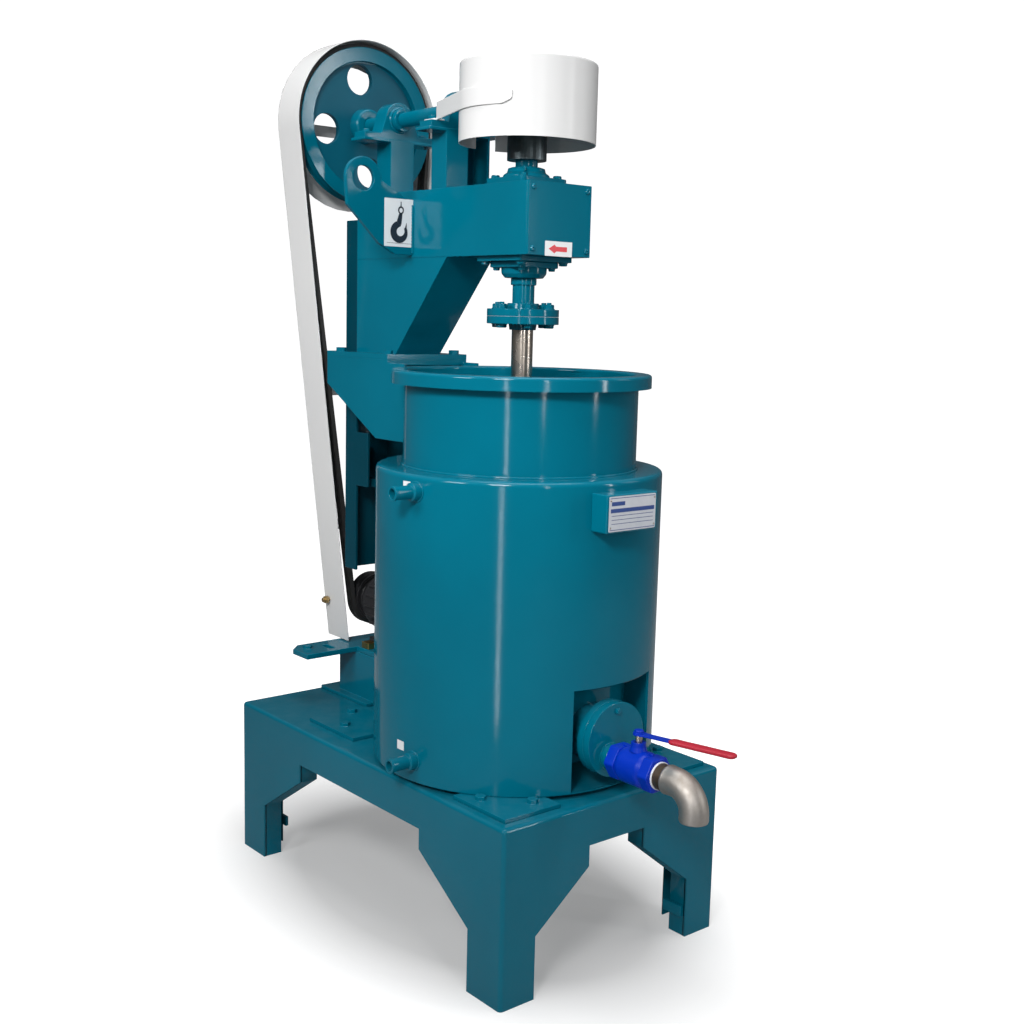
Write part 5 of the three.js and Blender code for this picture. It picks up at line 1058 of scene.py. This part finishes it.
def add_hook_label():
    """A white label with a plain hook for lifting: a shank, a tapered curl, an eye and a rope over a
    thin rule, as flat ribbons. The hook's width follows 9 + 10 sin(1.15 pi share)^0.8 along its path."""
    face = limits("lifting_ear_left")[0][1]
    x, z = -138.0, 1736.0
    label = prism(rectangle(92.0, 118.0, 1.5, (x, z)), face - 0.5, face, "y", 0.1)
    put("hook_label", label, slot="white_paint", finish=LABEL_WHITE, body="root")

    def ribbon(path, widths):
        """A flat strip: the path moved by half its width to both sides."""
        path = np.asarray(path, float)
        tangent = np.gradient(path, axis=0)
        side = np.stack([-tangent[:, 1], tangent[:, 0]], axis=-1)
        side /= np.linalg.norm(side, axis=1, keepdims=True)
        half = np.asarray(widths, float)[:, None] / 2
        flat = np.stack([path - side * half, path + side * half], axis=1) + [x, z]
        points = spread("y", flat[..., 0], flat[..., 1], face - 0.6)
        return points.reshape(-1, 3), quads(len(path), 2, False, False)

    slim, swell, curl_radius = 9.0, 10.0, 19
    shank = np.stack([np.linspace(4.0, -2.3, 10), np.linspace(24.0, -3.3, 10)], axis=-1)
    angle = np.radians(np.linspace(100, 385, 40))
    curl = np.stack([curl_radius * np.cos(angle) + 1.0, curl_radius * np.sin(angle) - 22.0], axis=-1)
    tip = np.array([[19.5, -11.0], [20.5, -5.0], [21.0, 1.0]])
    hook = np.concatenate([shank[:-1], curl, tip])
    share = np.linspace(0, 1, len(hook))
    widths = slim + swell * np.sin(np.clip(share * 1.15, 0, 1) * math.pi) ** 0.8
    widths[-3:] = [5.0, 3.0, 0.6]
    angle = np.linspace(0, TURN, 33)
    eye = np.stack([4.0 + 7.0 * np.cos(angle), 31.0 + 8.0 * np.sin(angle)], axis=-1)
    rope = [[4.0, 38.0], [4.0, 45.0], [4.0, 52.0]]
    rule = [[-38.0, -50.0], [0.0, -50.3], [38.0, -50.6]]
    mark = together(
        ribbon(hook, widths), ribbon(eye, np.full(33, 4.0)),
        ribbon(rope, [2.6] * 3), ribbon(rule, [0.8] * 3),
    )
    put("hook_mark", mark, slot="black_paint", finish=LABEL_DARK, body="root", wall=0.2)


def add_small_labels():
    """Plain white labels on the jacket over the two water nozzles, bent to its curve."""
    half, radius = 11.0, JACKET + 0.4
    for name, height, past in (("upper_nozzle_label", 1124.0, 6.5), ("lower_nozzle_label", 508.0, 4.5)):
        angle = np.radians(np.linspace(-5.4, -1.2, 7)) + math.pi + np.radians(past)
        z = np.array([height - half, height + half])
        points = spread("z", radius * np.cos(angle)[:, None], radius * np.sin(angle)[:, None], z[None, :])
        sheet = points.reshape(-1, 3), quads(7, 2, False, False)
        put(name, sheet, slot="white_paint", finish=LABEL_WHITE, body="root", wall=0.4)


EAR_EYE = np.array([245.0, 1837.0])
EAR_HOLE, EAR_RING = 30.0, 52.0
EAR_WEB = [[97.3, 1658], [150, 1658], [198, 1683], [291.8, 1772], [297, 1837], [193, 1837], [97.3, 1786]]


def ear_outline():
    """The angles of rays from the hole's centre and the ear's reach along each: the further of the
    ring and the web. A ray meets the edge from a along e at (a x e) / (ray x e), where the share of
    the edge, (a x ray) / (ray x e), lies from 0 to 1."""
    web = EAR_WEB - EAR_EYE
    edge = np.roll(web, -1, axis=0) - web
    corner_angles = np.arctan2(web[:, 1], web[:, 0]) % TURN
    angle = np.unique(np.concatenate([np.linspace(0, TURN, 97)[:-1], corner_angles]))
    ray = np.stack([np.cos(angle), np.sin(angle)], axis=-1)[:, None]
    cross = ray[..., 0] * edge[:, 1] - ray[..., 1] * edge[:, 0]
    safe = np.where(np.abs(cross) < 1e-9, 1.0, cross)
    distance = (web[:, 0] * edge[:, 1] - web[:, 1] * edge[:, 0]) / safe
    share = (web[:, 0] * ray[..., 1] - web[:, 1] * ray[..., 0]) / safe
    valid = (np.abs(cross) > 1e-9) & (distance > 0) & (share > -1e-6) & (share < 1 + 1e-6)
    return angle, np.maximum(np.where(valid, distance, 0.0).max(axis=1), EAR_RING)


def add_ears():
    """Lifting ears, each a sheet ruled from the hole's edge to the outline, with a weld bead where it
    meets the arm."""
    angle, reach = ear_outline()
    rows = EAR_HOLE + (reach[:, None] - EAR_HOLE) * np.linspace(0, 1, 6)
    for name, side in (("lifting_ear_left", -1.0), ("lifting_ear_right", 1.0)):
        low, high = limits(name)
        thickness = high[1] - low[1]
        x = side * (EAR_EYE[0] + rows * np.cos(angle)[:, None])
        z = EAR_EYE[1] + rows * np.sin(angle)[:, None]
        points = spread("y", x, z, low[1] + thickness / 2)
        sheet = points.reshape(-1, 3), quads(len(angle), 6, True, False)
        put(f"{name}_plate", sheet, (name,), wall=thickness, edge=1.6, even=True)
        path = spread("z", side * 98.5, low[1] - 1.0, np.linspace(1662, 1782, 40))
        put(f"{name}_weld", bead(path, 3.0, (1, 0, 0)), slot="teal_paint", body="root")


def add_bearings():
    """Flange bearings above and below the arm: a square flange with four bolts, a stepped housing
    round the spindle, and above it the bearing's insert and a grease nipple."""
    bore = 27
    base = limits("upper_spindle_bearing")[0][2]
    flange = prism(rectangle(142.0, 142.0, 14.0), base, base + 16.0, edge=2.0)
    housing = turned([
        [bore, base + 10], [58, base + 10], [55, base + 24], [46, base + 30],
        [44, base + 40], [bore, base + 40],
    ], edge=2.5)
    insert = tube(38, bore, base + 30, base + 41.5, edge=1.2)
    bolts = bolt_square(52, base + 16, 18.0, 8.0)
    nipple = rod(3.2, base + 30, base + 41, (-38.0, -38.0), edge=1.0, steps=20)
    upper = together(flange, housing, insert, nipple, *bolts)
    put("upper_bearing_cast", upper, ("upper_spindle_bearing",))
    top = limits("lower_spindle_bearing")[1][2]
    plate = prism(rectangle(164.0, 164.0, 6.0), top - 12.0, top, edge=1.5)
    flange = prism(rectangle(124.0, 124.0, 16.0), top - 26.0, top - 12.0, edge=2.5)
    housing = turned([
        [bore, top - 14], [56, top - 14], [54, top - 40], [46, top - 50], [bore, top - 50],
    ], edge=2.5)
    plate_bolts = bolt_square(66, top - 12, 18.0, 8.0, way=-1.0)
    flange_bolts = bolt_square(47, top - 26, 14.0, 7.0, way=-1.0)
    lower = together(plate, flange, housing, *plate_bolts, *flange_bolts)
    put("lower_bearing_cast", lower, ("lower_spindle_bearing",))


def add_spindle():
    """The spindle with its collar, set screw and eight-sided top nut, the two halves of the bolted
    coupling, and the stirrer's shaft with its five arms."""
    low, high = limits("spindle")
    collar_top = limits("lower_spindle_bearing")[0][2] - 0.5
    nut_base = high[2] - 22.0
    shaft = rod(26.5, low[2], high[2], edge=2.0)
    collar = tube(31.0, 26.0, collar_top - 16.0, collar_top, edge=2.0)
    screw = rod(3.4, 29.0, 31.6, (0.0, collar_top - 8.0), "x", 0.8, 20)
    nut = prism(polygon(8, 68.0, 3.0), nut_base, nut_base + 16.0, edge=1.5)
    put("spindle_turned", together(shaft, collar, screw, nut), ("spindle",), slot="teal_paint")

    rim, bolts = 87, 66
    face = limits("upper_coupling")[0][2]
    outline = [
        [27, face], [rim, face], [rim, face + 17.5],
        [40, face + 17.5], [38, face + 31.5], [27, face + 31.5],
    ]
    disc = turned(outline, edge=1.5, steps=128)
    heads = bolt_circle(bolts, face + 17.5, 22.0, 12.0)
    studs = [
        rod(6.0, face + 20, face + 34, (bolts * math.cos(a), bolts * math.sin(a)), edge=1.2, steps=20)
        for a in SIXTHS
    ]
    put("upper_coupling_turned", together(disc, *heads, *studs), ("upper_coupling",))

    low, high = limits("stirrer_shaft")
    top = high[2]
    outline = [[24, top], [rim, top], [rim, top - 18], [34, top - 18], [32, top - 32], [24, top - 32]]
    disc = turned(outline, edge=1.5, steps=128)
    heads = bolt_circle(bolts, top - 18, 22.0, 9.0, way=-1.0)
    lower = together(disc, *heads)
    put("lower_coupling_turned", lower, slot="teal_paint", body="spindle_and_stirrer")
    put("stirrer_shaft_turned", rod(26.0, low[2], top - 4.0, edge=2.5), ("stirrer_shaft",))
    for number in range(1, 6):
        name = f"stirrer_arm_{number}"
        axis = "x" if number % 2 else "y"
        arm = rod(12.0, -252.0, 252.0, (0.0, middle(name)[2]), axis, 2.5, 48)
        put(f"{name}_turned", arm, (name,))


# Gear guard

def add_gear_guard():
    """A turned sheet, open below, with a slot for the drive shaft: straight sides up to the shaft's
    axis and a half circle over it."""
    low, high = limits("gear_guard")
    wall, slot, above = 3.0, 31.0, 6.0
    radius = high[0] - wall / 2
    top = high[2] - wall / 2
    shaft = middle("drive_shaft")[2]
    bend = np.linspace(0, QUARTER, 14)
    heights = np.concatenate([np.linspace(low[2], shaft, 6)[:-1], shaft + slot * np.sin(bend)])
    sides = np.stack([np.full(len(heights), radius), heights], axis=-1)
    outline = [[radius, shaft + slot + above], [radius, top], [0.0, top]]
    crown = rounded(outline, [0, 5.0, 0], 6, closed=False)
    rows = np.concatenate([sides, crown[:-1], [[radius * 0.5, top]], crown[-1:]])
    gap = np.concatenate([np.full(5, slot), slot * np.cos(bend)])
    gap = np.concatenate([gap, np.zeros(len(rows) - len(gap))])
    put("gear_guard_shell", gapped(rows, gap, QUARTER, 160), ("gear_guard",), wall=wall, edge=0.8)
    add_guard_strap(radius + wall / 2)


def add_guard_strap(guard_radius):
    """A flat strap that lies on the guard over an arc, leaves it along the tangent and ends in a tab
    on the front pillow block. Its free end narrows: its half width follows the root of the share of
    its first seven steps."""
    low, high = limits("gear_guard_strap")
    z, half = (low[2] + high[2]) / 2, (high[2] - low[2]) / 2
    half_thick = 1.9
    hold = guard_radius + 0.3 + 2.0
    leave, end = math.radians(160.5), math.radians(217.0)
    angle = np.linspace(end, leave, 40)
    arc = np.stack([hold * np.cos(angle), hold * np.sin(angle)], axis=-1)
    direction = np.array([math.sin(leave), -math.cos(leave)])
    pillow_y = middle("front_pillow_block")[1]
    length = (pillow_y - 22.0 - arc[-1, 1]) / direction[1]
    straight = arc[-1] + direction * np.linspace(0, length, 14)[1:, None]
    flat = np.concatenate([arc, straight])
    path = np.concatenate([flat, np.full((len(flat), 1), z)], axis=1)
    narrow = np.concatenate([(np.arange(1, 8) / 7) ** 0.5, np.ones(len(path) - 7)])
    band = carried(path, sections(soft_square(0.2), half * narrow, half_thick), (0, 0, 1))
    end_x, tab_end, overlap = path[-1, 0], -68.0, 8.0
    tab_middle = ((end_x - overlap + tab_end) / 2, pillow_y)
    tab = rectangle(tab_end - end_x + overlap, 50.0, 8.0, tab_middle)
    foot = prism(tab, low[2], low[2] + 4.0, edge=1.0)
    put("gear_guard_strap_bent", together(band, foot), ("gear_guard_strap",))


# Belt drive

WHEEL, SMALL_WHEEL = 208.0, 70.0  # the pulleys' radii at the belts


def add_drive_shaft():
    """The shaft with its two stop collars, each against the inner side of a pillow block."""
    low, high = limits("drive_shaft")
    at = (0.0, middle("drive_shaft")[2])
    width, gap = 16.0, 0.5
    behind_front = limits("front_pillow_block")[1][1] + gap
    before_rear = limits("rear_pillow_block")[0][1] - (width + gap)
    shaft = rod(20.0, low[1], high[1], at, "y", 2.0)
    collars = [tube(30.0, 19.5, y, y + width, at, "y", 2.0) for y in (behind_front, before_rear)]
    put("drive_shaft_turned", together(shaft, *collars), ("drive_shaft",), slot="teal_paint")


def grooved(radius, face, rear):
    """The rim of a pulley with two V grooves, as (radius, distance along the axis)."""
    depth, tilt, half, first, pitch = 14.0, 4.82, 8.5, face + 12.5, 19.0
    floor = radius - depth
    grooves = [
        [[radius, c - half], [floor, c - half + tilt], [floor, c + half - tilt], [radius, c + half]]
        for c in (first, first + pitch)
    ]
    return np.concatenate([[[radius, face]], *grooves, [[radius, rear]]])


def add_pulleys():
    """The big pulley, with its grooved rim, hub and recessed web, the small one on the motor's shaft,
    and that shaft."""
    low, high = limits("drive_pulley")
    at = (0.0, middle("drive_pulley")[2])
    radius = high[2] - at[1]
    face, rear = high[1] - 44.0, high[1]
    front, back = face + 14.0, face + 30.0
    rim_inside, seat, bevel, boss = radius - 19.0, 166, 171, front - 30
    inside = [
        [rim_inside, rear], [rim_inside, back], [seat, back],
        [seat, front], [bevel, front], [bevel, face],
    ]
    rim = turned(np.concatenate([grooved(radius, face, rear), inside]), at, "y", 1.2, 160)
    outline = [
        [20.3, rear], [20.3, boss], [40, boss], [44, front - 26],
        [48, front + 2], [48, back], [44, rear],
    ]
    hub = turned(outline, at, "y", 2.5, 96)
    put("drive_pulley_rim", together(rim, hub), ("drive_pulley",))
    web = windowed_web(at, 46.0, 168.0, (front + back) / 2)
    # The web gets the darker teal copy, its painted shade.
    put(
        "drive_pulley_web", web, slot="teal_paint", finish=SHADED_WEB_PAINT, body="drive_line",
        wall=back - front, edge=1.8, even=True,
    )
    low, high = limits("motor_pulley")
    at = (middle("motor_pulley")[0], middle("motor_pulley")[2])
    inside = [
        [14.3, rear], [14.3, low[1]], [36, low[1]], [36, face],
        [52, face], [54, face + 3], [62, face + 3], [64, face],
    ]
    small = turned(np.concatenate([grooved(SMALL_WHEEL, face, rear), inside]), at, "y", 1.0, 96)
    put("motor_pulley_turned", small, ("motor_pulley",))
    low, high = limits("motor_shaft")
    shaft = rod(14.0, low[1], high[1], at, "y", 1.5, 48)
    put("motor_shaft_turned", shaft, ("motor_shaft",))


def windowed_web(at, inner, outer, y, windows=4, window_circle=124.0, window=40.0, first=8.0):
    """A ring cut in equal sectors, each ruled from its window's edge to the sector's border. The
    border is walked by the ray from the window's centre in (angle, radius) space."""
    steps, rows = 64, 7
    half_angle = math.pi / windows
    side, over, under = half_angle * window_circle, outer - window_circle, inner - window_circle
    way = np.linspace(0, TURN, steps, endpoint=False) + TURN / steps / 2
    corners = np.arctan2([over, over, under, under], [side, -side, -side, side])
    way = np.unique(np.concatenate([way, corners % TURN]))
    du, dr = np.cos(way), np.sin(way)
    to_side = side / np.maximum(np.abs(du), 1e-9)
    to_rim = np.where(dr > 0, over, -under) / np.maximum(np.abs(dr), 1e-9)
    reach = np.minimum(to_side, to_rim)
    edge_u, edge_r = reach * du / window_circle, window_circle + reach * dr
    share = np.linspace(0, 1, rows)[None, :, None]
    sectors = []
    for index in range(windows):
        turn = math.radians(first) + index * 2 * half_angle
        centre = window_circle * np.array([math.cos(turn), math.sin(turn)])
        radial, sideways = centre / window_circle, np.array([-math.sin(turn), math.cos(turn)])
        near = centre + window * (du[:, None] * sideways + dr[:, None] * radial)
        far = np.stack([edge_r * np.cos(turn + edge_u), edge_r * np.sin(turn + edge_u)], axis=-1)
        flat = near[:, None] * (1 - share) + far[:, None] * share
        points = spread("y", at[0] + flat[..., 0], at[1] + flat[..., 1], y).reshape(-1, 3)
        sectors.append((points, quads(len(way), rows, True, False)))
    return together(*sectors)


def belt_line(centres, radii, steps):
    """The closed line round two wheels: an arc on each, joined by its two common tangents."""
    (x0, z0), (x1, z1) = centres
    down = math.atan2(z1 - z0, x1 - x0)
    apart = math.acos((radii[0] - radii[1]) / math.hypot(x1 - x0, z1 - z0))
    upper = np.linspace(down + apart, down - apart + TURN, steps)
    lower = np.linspace(down - apart + TURN, down + apart + TURN, steps // 2)
    upper = np.stack([x0 + radii[0] * np.cos(upper), z0 + radii[0] * np.sin(upper)], axis=-1)
    lower = np.stack([x1 + radii[1] * np.cos(lower), z1 + radii[1] * np.sin(lower)], axis=-1)
    return upper, lower


def runs_between(upper, lower, steps):
    """The two straight runs between the arcs, without their ends."""
    share = np.linspace(0, 1, steps)[1:-1, None]
    return upper[-1] + (lower[0] - upper[-1]) * share, lower[-1] + (upper[0] - lower[-1]) * share


def add_belts():
    """V-belts: a trapezoid with rounded corners carried round both wheels."""
    big = (0.0, middle("drive_pulley")[2])
    small = (middle("motor_pulley")[0], middle("motor_pulley")[2])
    upper, lower = belt_line((big, small), (WHEEL, SMALL_WHEEL), 96)
    down_run, up_run = runs_between(upper, lower, 40)
    line = np.concatenate([upper, down_run, lower, up_run])
    section = rounded([[-7.9, -0.8], [7.9, -0.8], [4.4, 10.2], [-4.4, 10.2]], 0.9) * [1.0, -1.0]
    for name in ("v_belt_front", "v_belt_rear"):
        path = spread("y", line[:, 0], line[:, 1], middle(name)[1])
        put(f"{name}_rubber", carried(path, section, (0, 1, 0), closed=True), (name,))


def add_belt_guard():
    """The guard's band: a thin strip with rolled lips carried over the big wheel and down both
    sides, and its stud with a nut."""
    low, high = limits("belt_guard_band")
    thick = 1.25
    centre = middle("drive_pulley")
    small = middle("motor_pulley")
    radii = (high[2] - centre[2] - thick, 116.75)
    y, half = (low[1] + high[1]) / 2, (high[1] - low[1]) / 2
    upper, lower = belt_line(((0.0, centre[2]), (small[0], small[2])), radii, 120)

    def leg(start, towards):
        """From the foot of a leg up to where its arc starts."""
        way = towards - start
        foot = start + way * ((low[2] - start[1]) / way[1])
        return foot + (start - foot) * np.linspace(0, 1, 40)[:-1, None]

    right = leg(upper[0], lower[-1])
    left = leg(upper[-1], lower[0])[::-1]
    line = np.concatenate([right, upper, left])
    path = spread("y", line[:, 0], line[:, 1], y)
    outline = [
        [-half, -thick], [half, -thick], [half, thick],
        [half - 1, thick], [-half + 1, thick], [-half, thick],
    ]
    band = carried(path, rounded(outline, 1.0), (0, 1, 0))
    put("belt_guard_strip", band, ("belt_guard_band",))
    stud_y, stud_z = high[1] - 17.2, 684.0
    stud_x = np.interp(stud_z, left[::-1, 1], left[::-1, 0]) - 22.0
    nut_front, nut_back = stud_x + 6, stud_x + 17
    nut = rounded([[0, nut_front], [1, nut_front], [1, nut_back], [0, nut_back]], 0.15, closed=False)
    stud = together(
        rod(7.0, stud_x, stud_x + 26, (stud_y, stud_z), "x", 1.0, 40),
        lofted(nut, polygon(6, 19.0, 1.0), (stud_y, stud_z), "x"),
    )
    put("belt_guard_stud", stud, slot="zinc_yellow", body="root")


# Stage, lights and camera

FLOOR_GREY = (0.46, 0.46, 0.46, 1.0)
FLOOR_REACH, WALL_HEIGHT, FLOOR_CURVE = 14000.0, 9000.0, 6000.0
TABLE_MIDDLE, TABLE_REACH = (0.031, 0.153, 0.0), (0.36, 0.6, 1.0)
GLOW_NEAR, GLOW_FAR = 0.25, 1.0


def add_stage():
    """A pale round floor whose rim curves up into a far wall. For camera rays alone it also glows, by
    how far a place lies from the table: the length of (place - middle) / reach, from 1 to 2."""
    outline = [[0.0, 0.0], [FLOOR_REACH, 0.0], [FLOOR_REACH, WALL_HEIGHT]]
    points, faces = lofted(rounded(outline, [0.0, FLOOR_CURVE, 0.0], 16, closed=False), circle(96))
    mesh = bpy.data.meshes.new("studio_floor")
    mesh.from_pydata((points * MM).tolist(), [], faces.tolist())
    mesh.shade_smooth()
    floor = bpy.data.objects.new("studio_floor", mesh)
    bpy.context.scene.collection.objects.link(floor)
    material, tree, shader = principled("studio_floor", Base_Color=FLOOR_GREY, Roughness=0.9)
    place = tree.nodes.new("ShaderNodeTexCoord").outputs["Object"]
    centred = add_vector_math(tree, "SUBTRACT", place, TABLE_MIDDLE)
    shrunk = add_vector_math(tree, "DIVIDE", centred.outputs[0], TABLE_REACH)
    reach = add_vector_math(tree, "LENGTH", shrunk.outputs[0])
    seen = tree.nodes.new("ShaderNodeLightPath").outputs["Is Camera Ray"]
    # The glow is painted light. It is weakest inside the table's outline, so the floor round the table
    # stays darker as a painted shadow.
    fade = add_ramp(tree, reach.outputs["Value"], 1.0, 2.0, GLOW_NEAR, GLOW_FAR)
    shader.inputs["Emission Color"].default_value = (1.0, 1.0, 1.0, 1.0)
    tree.links.new(add_math(tree, "MULTIPLY", fade, seen), shader.inputs["Emission Strength"])
    mesh.materials.append(material)


def facing(right, up, back, place):
    """The matrix of a lamp or a camera, from its three unit axes and its place."""
    turn = np.eye(4)
    turn[:3] = np.stack([right, up, back, place], axis=-1)
    return Matrix(turn.tolist())


def add_light(name, place, aim, width, height, watts, spread_angle=150.0):
    """A soft box at a place in metres, turned to face an aim."""
    light = bpy.data.lights.new(name, "AREA")
    light.shape = "RECTANGLE"
    light.size, light.size_y = width, height
    light.energy = watts
    light.spread = math.radians(spread_angle)
    back = np.array(place, float) - np.array(aim, float)
    back /= np.linalg.norm(back)
    right = np.cross([0.0, 0.0, 1.0], back)
    right /= np.linalg.norm(right)
    lamp = bpy.data.objects.new(name, light)
    lamp.matrix_world = facing(right, np.cross(back, right), back, place)
    bpy.context.scene.collection.objects.link(lamp)
    return lamp


def add_lights():
    """A faint even sky, soft boxes for the form, and tall narrow ones for the long highlights on the
    tank. The one near the tank would stand in the picture, so it is hidden from the camera."""
    world = bpy.data.worlds.new("studio")
    world.use_nodes = True
    sky = world.node_tree.nodes["Background"]
    sky.inputs["Color"].default_value = (0.96, 0.98, 1.0, 1.0)
    sky.inputs["Strength"].default_value = 0.25
    bpy.context.scene.world = world
    bpy.context.scene.view_settings.view_transform = "Standard"
    add_light("key", (-3.1, -2.2, 3.3), (0.0, 0.0, 1.3), 1.0, 0.7, 11.6, 50.0)
    add_light("strip", (-1.6, -4.8, 2.2), (0.0, 0.0, 1.0), 0.1, 2.6, 17.0)
    near_strip = add_light("near_strip", (-1.46, -1.22, 0.95), (0.0, 0.0, 0.95), 0.05, 1.7, 2.8)
    near_strip.visible_camera = False
    add_light("right_strip", (3.0, -4.4, 2.2), (0.0, 0.0, 1.6), 0.2, 2.4, 28.0)
    add_light("top", (0.0, -0.4, 4.6), (0.0, 0.0, 1.0), 2.6, 2.6, 66.0)
    add_light("side", (4.2, -2.5, 3.0), (0.0, 0.0, 1.6), 1.4, 2.0, 8.0)
    add_light("left", (-4.0, 0.1, 3.2), (0.0, 0.4, 1.9), 1.2, 1.4, 17.0, 75.0)


CAMERA_PLACE = (-2051.3, -2419.4, 1511.8)
HEADING, DOWN, ROLL = 40.03, 8.57, 1.406
FOCAL_PIXELS, FRAME_PIXELS = 1300.0, 1024.0


def add_camera():
    """The photograph's view: its place, its heading from +Y towards +X, its tilt down and its roll,
    and a lens whose focal length is 1300 pixels of a 1024 pixel frame."""
    heading, down, roll = (math.radians(angle) for angle in (HEADING, DOWN, ROLL))
    forward = np.array([
        math.sin(heading) * math.cos(down), math.cos(heading) * math.cos(down), -math.sin(down),
    ])
    level = np.array([math.cos(heading), -math.sin(heading), 0.0])
    upright = np.cross(level, forward)
    right = math.cos(roll) * level + math.sin(roll) * upright
    up = -math.sin(roll) * level + math.cos(roll) * upright
    lens = bpy.data.cameras.new("camera")
    lens.sensor_width = 36.0
    lens.lens = FOCAL_PIXELS / FRAME_PIXELS * lens.sensor_width
    lens.clip_end = 100.0
    camera = bpy.data.objects.new("camera", lens)
    camera.matrix_world = facing(right, up, -forward, np.array(CAMERA_PLACE) * MM + ORIGIN)
    bpy.context.scene.collection.objects.link(camera)
    bpy.context.scene.camera = camera


add_camera()
add_stage()
add_lights()
add_softened_pieces()
finish_inner_pieces()
add_table()
add_jacket()
add_vessel()
add_name_plate()
add_outlet()
add_drain()
add_water_nozzles()
add_end_cover()
add_hook_label()
add_small_labels()
add_ears()
add_bearings()
add_spindle()
add_gear_guard()
add_drive_shaft()
add_pulleys()
add_belts()
add_belt_guard()
